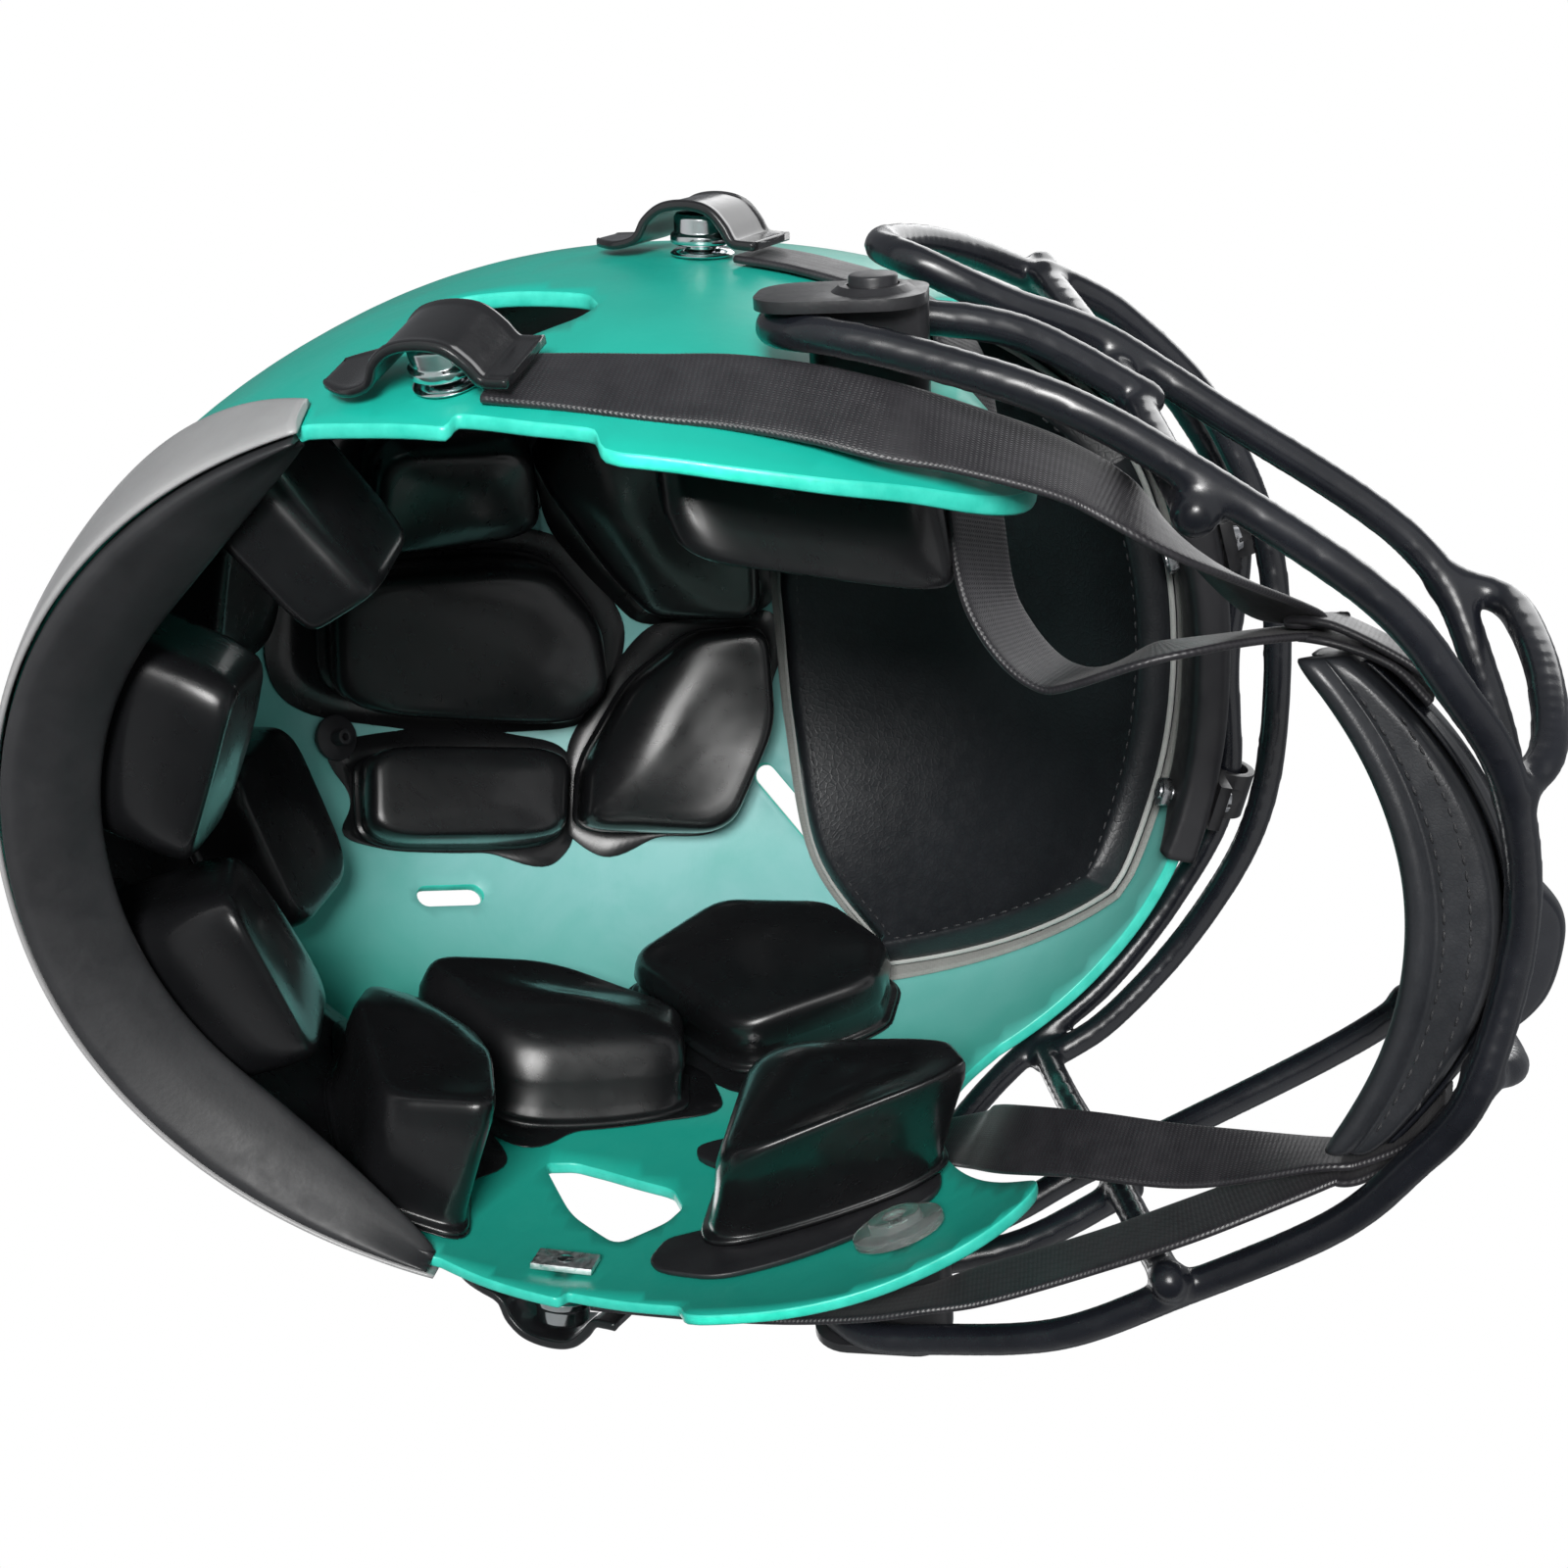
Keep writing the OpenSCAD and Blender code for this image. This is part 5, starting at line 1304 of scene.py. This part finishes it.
def strap(kind, s, tag):
    P, N = strap_lines(kind, s)
    n = 18
    Q, F = spline(P, n), spline(N, n)
    d = headings(Q)
    f = square_to(F, d)
    hw, ht = STRAP_W / 2, STRAP_T / 2
    top = [(x, ht * (1 + 0.05 * math.cos(x * 3.1))) for x in np.linspace(-hw + 0.9, hw - 0.9, 15)]
    side = [(hw - 0.35, ht * 0.8), (hw, ht * 0.25), (hw, -ht * 0.25), (hw - 0.35, -ht * 0.8)]
    prof = np.array(top + side + [(x, -y) for x, y in top[::-1]] + [(-x, -y) for x, y in side])
    R = Q[:, None] + prof[None, :, :1] * np.cross(d, f)[:, None] + prof[None, :, 1:] * f[:, None]
    o = loft(kind + "_strap" + tag + "_webbing", R, uv=(run(Q) * MM, prof[:, 0] * MM))
    mend(o.data)
    o.data.materials.append(MAT["strap"])
    if kind == "upper":
        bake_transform(o)
    else:
        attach(o, "chin_cup")
    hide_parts(kind + "_strap" + tag)


for tag, s in BOTH:
    strap("lower", s, tag)
    strap("upper", s, tag)


# Buckles, studs, clips and small hardware
# side view of a buckle: along the strap, height above the snap
ARCH = [[-27, 2], [-19, 2.4], [-13.5, 4.4], [-10.6, 8.8], [-6, 12], [0.5, 13], [6.5, 12], [10.4, 8.6],
        [12.8, 5.2], [16, 4.7], [19, 4.7]]


def buckle(name, yz, d, s):
    Q = even(spline([[a, 0, b] for a, b in ARCH], 12), 0.9)
    ht, R = 1.1, []
    across = np.linspace(-1, 1, 21)
    for q, f in zip(Q, np.cross(headings(Q), A(0, 1, 0))):
        a = q[0]
        k = 1.0 if a > -17 else 0.5 + 0.5 * math.sin(math.pi / 2 * np.clip((a + 27.6) / 10.6, 0.02, 1))
        hw = k * (STRAP_W + 1) / 2
        roll = 0.55 if -13 < a < 13 else 0.25
        prof = [(u * (hw - 0.3), ht * 0.82 + roll * math.exp(-((abs(u) - 0.93) / 0.06) ** 2)) for u in across]
        prof += [(hw, ht * 0.5), (hw, -ht * 0.5)] + [(u * (hw - 0.3), -ht * 0.9) for u in across[::-1]]
        prof += [(-hw, -ht * 0.5), (-hw, ht * 0.5)]
        R.append(np.array([q + A(0, 1, 0) * u + f * v for u, v in prof]))
    o = loft(name + "_band", R)
    p = side_pt(yz, 0, s)
    n = outward(p)
    x = square_to(A(*d), n)
    place(o, p, x, np.cross(n, x), n)
    dress(o, "buckle", [name], body=name)


for tag, s in BOTH:
    buckle("lower_buckle" + tag, LOW_SNAP, (0, -1, -0.2), s)
    buckle("upper_buckle" + tag, HIGH_SNAP, (0, -1, -0.32), s)
    for k in ("lower", "upper"):
        refined(k + "_socket" + tag, "chrome", "chrome", 0.25, 3, 30, k + "_buckle" + tag)
    refined("side_clip" + tag, "body", "clip", 0.8, 3)
    refined("release_button" + tag, "cap", "rubber", 0.6, 3, body="release_button" + tag)
    refined("valve" + tag, "rubber", "rubber", 0.3)
refined("snap_studs", "chrome", "chrome", 0.2, 2, 40)
refined("snap_nuts", "steel", "nut", 0.25)
refined("brow_clips", "body", "clip", 0.6, 3)
refined("brow_screws", "steel", "steel", 0.2)
refined("brow_nuts", "steel", "steel", 0.25)
refined("clip_retainers", "clear", "clear", 0.5, 3)


# Floor, world, lamps and camera
def stage():
    m = bpy.data.materials.new("floor_pale")
    nt = tree_of(m)
    ray = node(nt, "LightPath").outputs
    # a little even light of its own keeps the floor pale right out to its end
    own = maths(nt, "MULTIPLY", ray["Is Camera Ray"], 0.34)
    glow = node(nt, "Emission", {"Color": (1, 1, 1, 1)}, {"Strength": own})
    matt = node(nt, "BsdfDiffuse", {"Color": (0.82, 0.82, 0.82, 1)})
    lit = node(nt, "AddShader", links={0: matt.outputs[0], 1: glow.outputs[0]})
    # clear from below and for shadow rays, so the camera and the lamps under it see the helmet
    clear = maths(nt, "MAXIMUM", node(nt, "NewGeometry").outputs["Backfacing"], ray["Is Shadow Ray"])
    mix = node(nt, "MixShader", links={0: clear, 1: lit.outputs[0], 2: node(nt, "BsdfTransparent").outputs[0]})
    node(nt, "OutputMaterial", links={0: mix.outputs[0]})
    me = bpy.data.meshes.new("floor")
    r = 6.0
    me.from_pydata([(-r, -r, 0), (r, -r, 0), (r, r, 0), (-r, r, 0)], [], [(0, 1, 2, 3)])
    me.materials.append(m)
    f = show(bpy.data.objects.new("floor", me))
    f.location = (0, 0, -0.0005)


def lamp(name, loc, target, size, power, color=(1, 1, 1)):
    l = bpy.data.lights.new(name, "AREA")
    l.shape = "SQUARE"
    l.size, l.energy, l.color = size, power, color
    o = show(bpy.data.objects.new(name, l))
    o.location = loc
    o.rotation_euler = (Vector(target) - Vector(loc)).to_track_quat("-Z", "Y").to_euler()


def world():
    w = bpy.data.worlds.new("studio")
    bpy.context.scene.world = w
    nt = tree_of(w)
    # a weak sky as light and white where the camera looks at it
    sky = node(nt, "Background", {"Color": (0.92, 0.95, 1.0, 1), "Strength": 0.2})
    seen = node(nt, "Background", {"Color": (1, 1, 1, 1), "Strength": 1.0})
    ray = node(nt, "LightPath").outputs
    fac = maths(nt, "MAXIMUM", ray["Is Camera Ray"], ray["Is Transmission Ray"])
    mix = node(nt, "MixShader", links={0: fac, 1: sky.outputs[0], 2: seen.outputs[0]})
    node(nt, "OutputWorld", links={0: mix.outputs[0]})


def camera():
    # solved from points of the rim, the pads and the mask in the photo
    loc = Vector((-193.9, -85.6 + MID - DRAWN_MID, -351.0)) * MM
    fwd = Vector((0.4046, 0.1570, 0.9009))
    right = Vector((0.0553, -0.9876, 0.1472))
    up = -Vector((0.9128, -0.0097, -0.4082))
    focal, width = 1919.4, 1600.0    # in pixels of the photo
    c = bpy.data.cameras.new("photo_camera")
    c.sensor_width = 36.0
    c.sensor_fit = "HORIZONTAL"
    c.lens = 36.0 * focal / width
    c.clip_start = 0.01
    c.clip_end = 50
    o = show(bpy.data.objects.new("photo_camera", c))
    o.matrix_world = Matrix([*zip(right, up, -fwd, loc), (0, 0, 0, 1)])
    bpy.context.scene.camera = o


stage()
world()
camera()
bpy.context.scene.view_settings.view_transform = "Standard"
lamp("key", (-0.666, -0.091, -0.914), (0, 0.02, 0.13), 0.32, 21.0, (1.0, 0.99, 0.98))
lamp("front", (-0.35, -0.65, -0.75), (0, -0.05, 0.10), 0.5, 2.4, (0.96, 0.98, 1.0))
lamp("top", (-0.5, -0.5, 1.3), (0, 0, 0.1), 1.2, 10.0)
lamp("top_back", (0.8, 1.0, 1.1), (0, 0, 0.1), 1.2, 8.5)
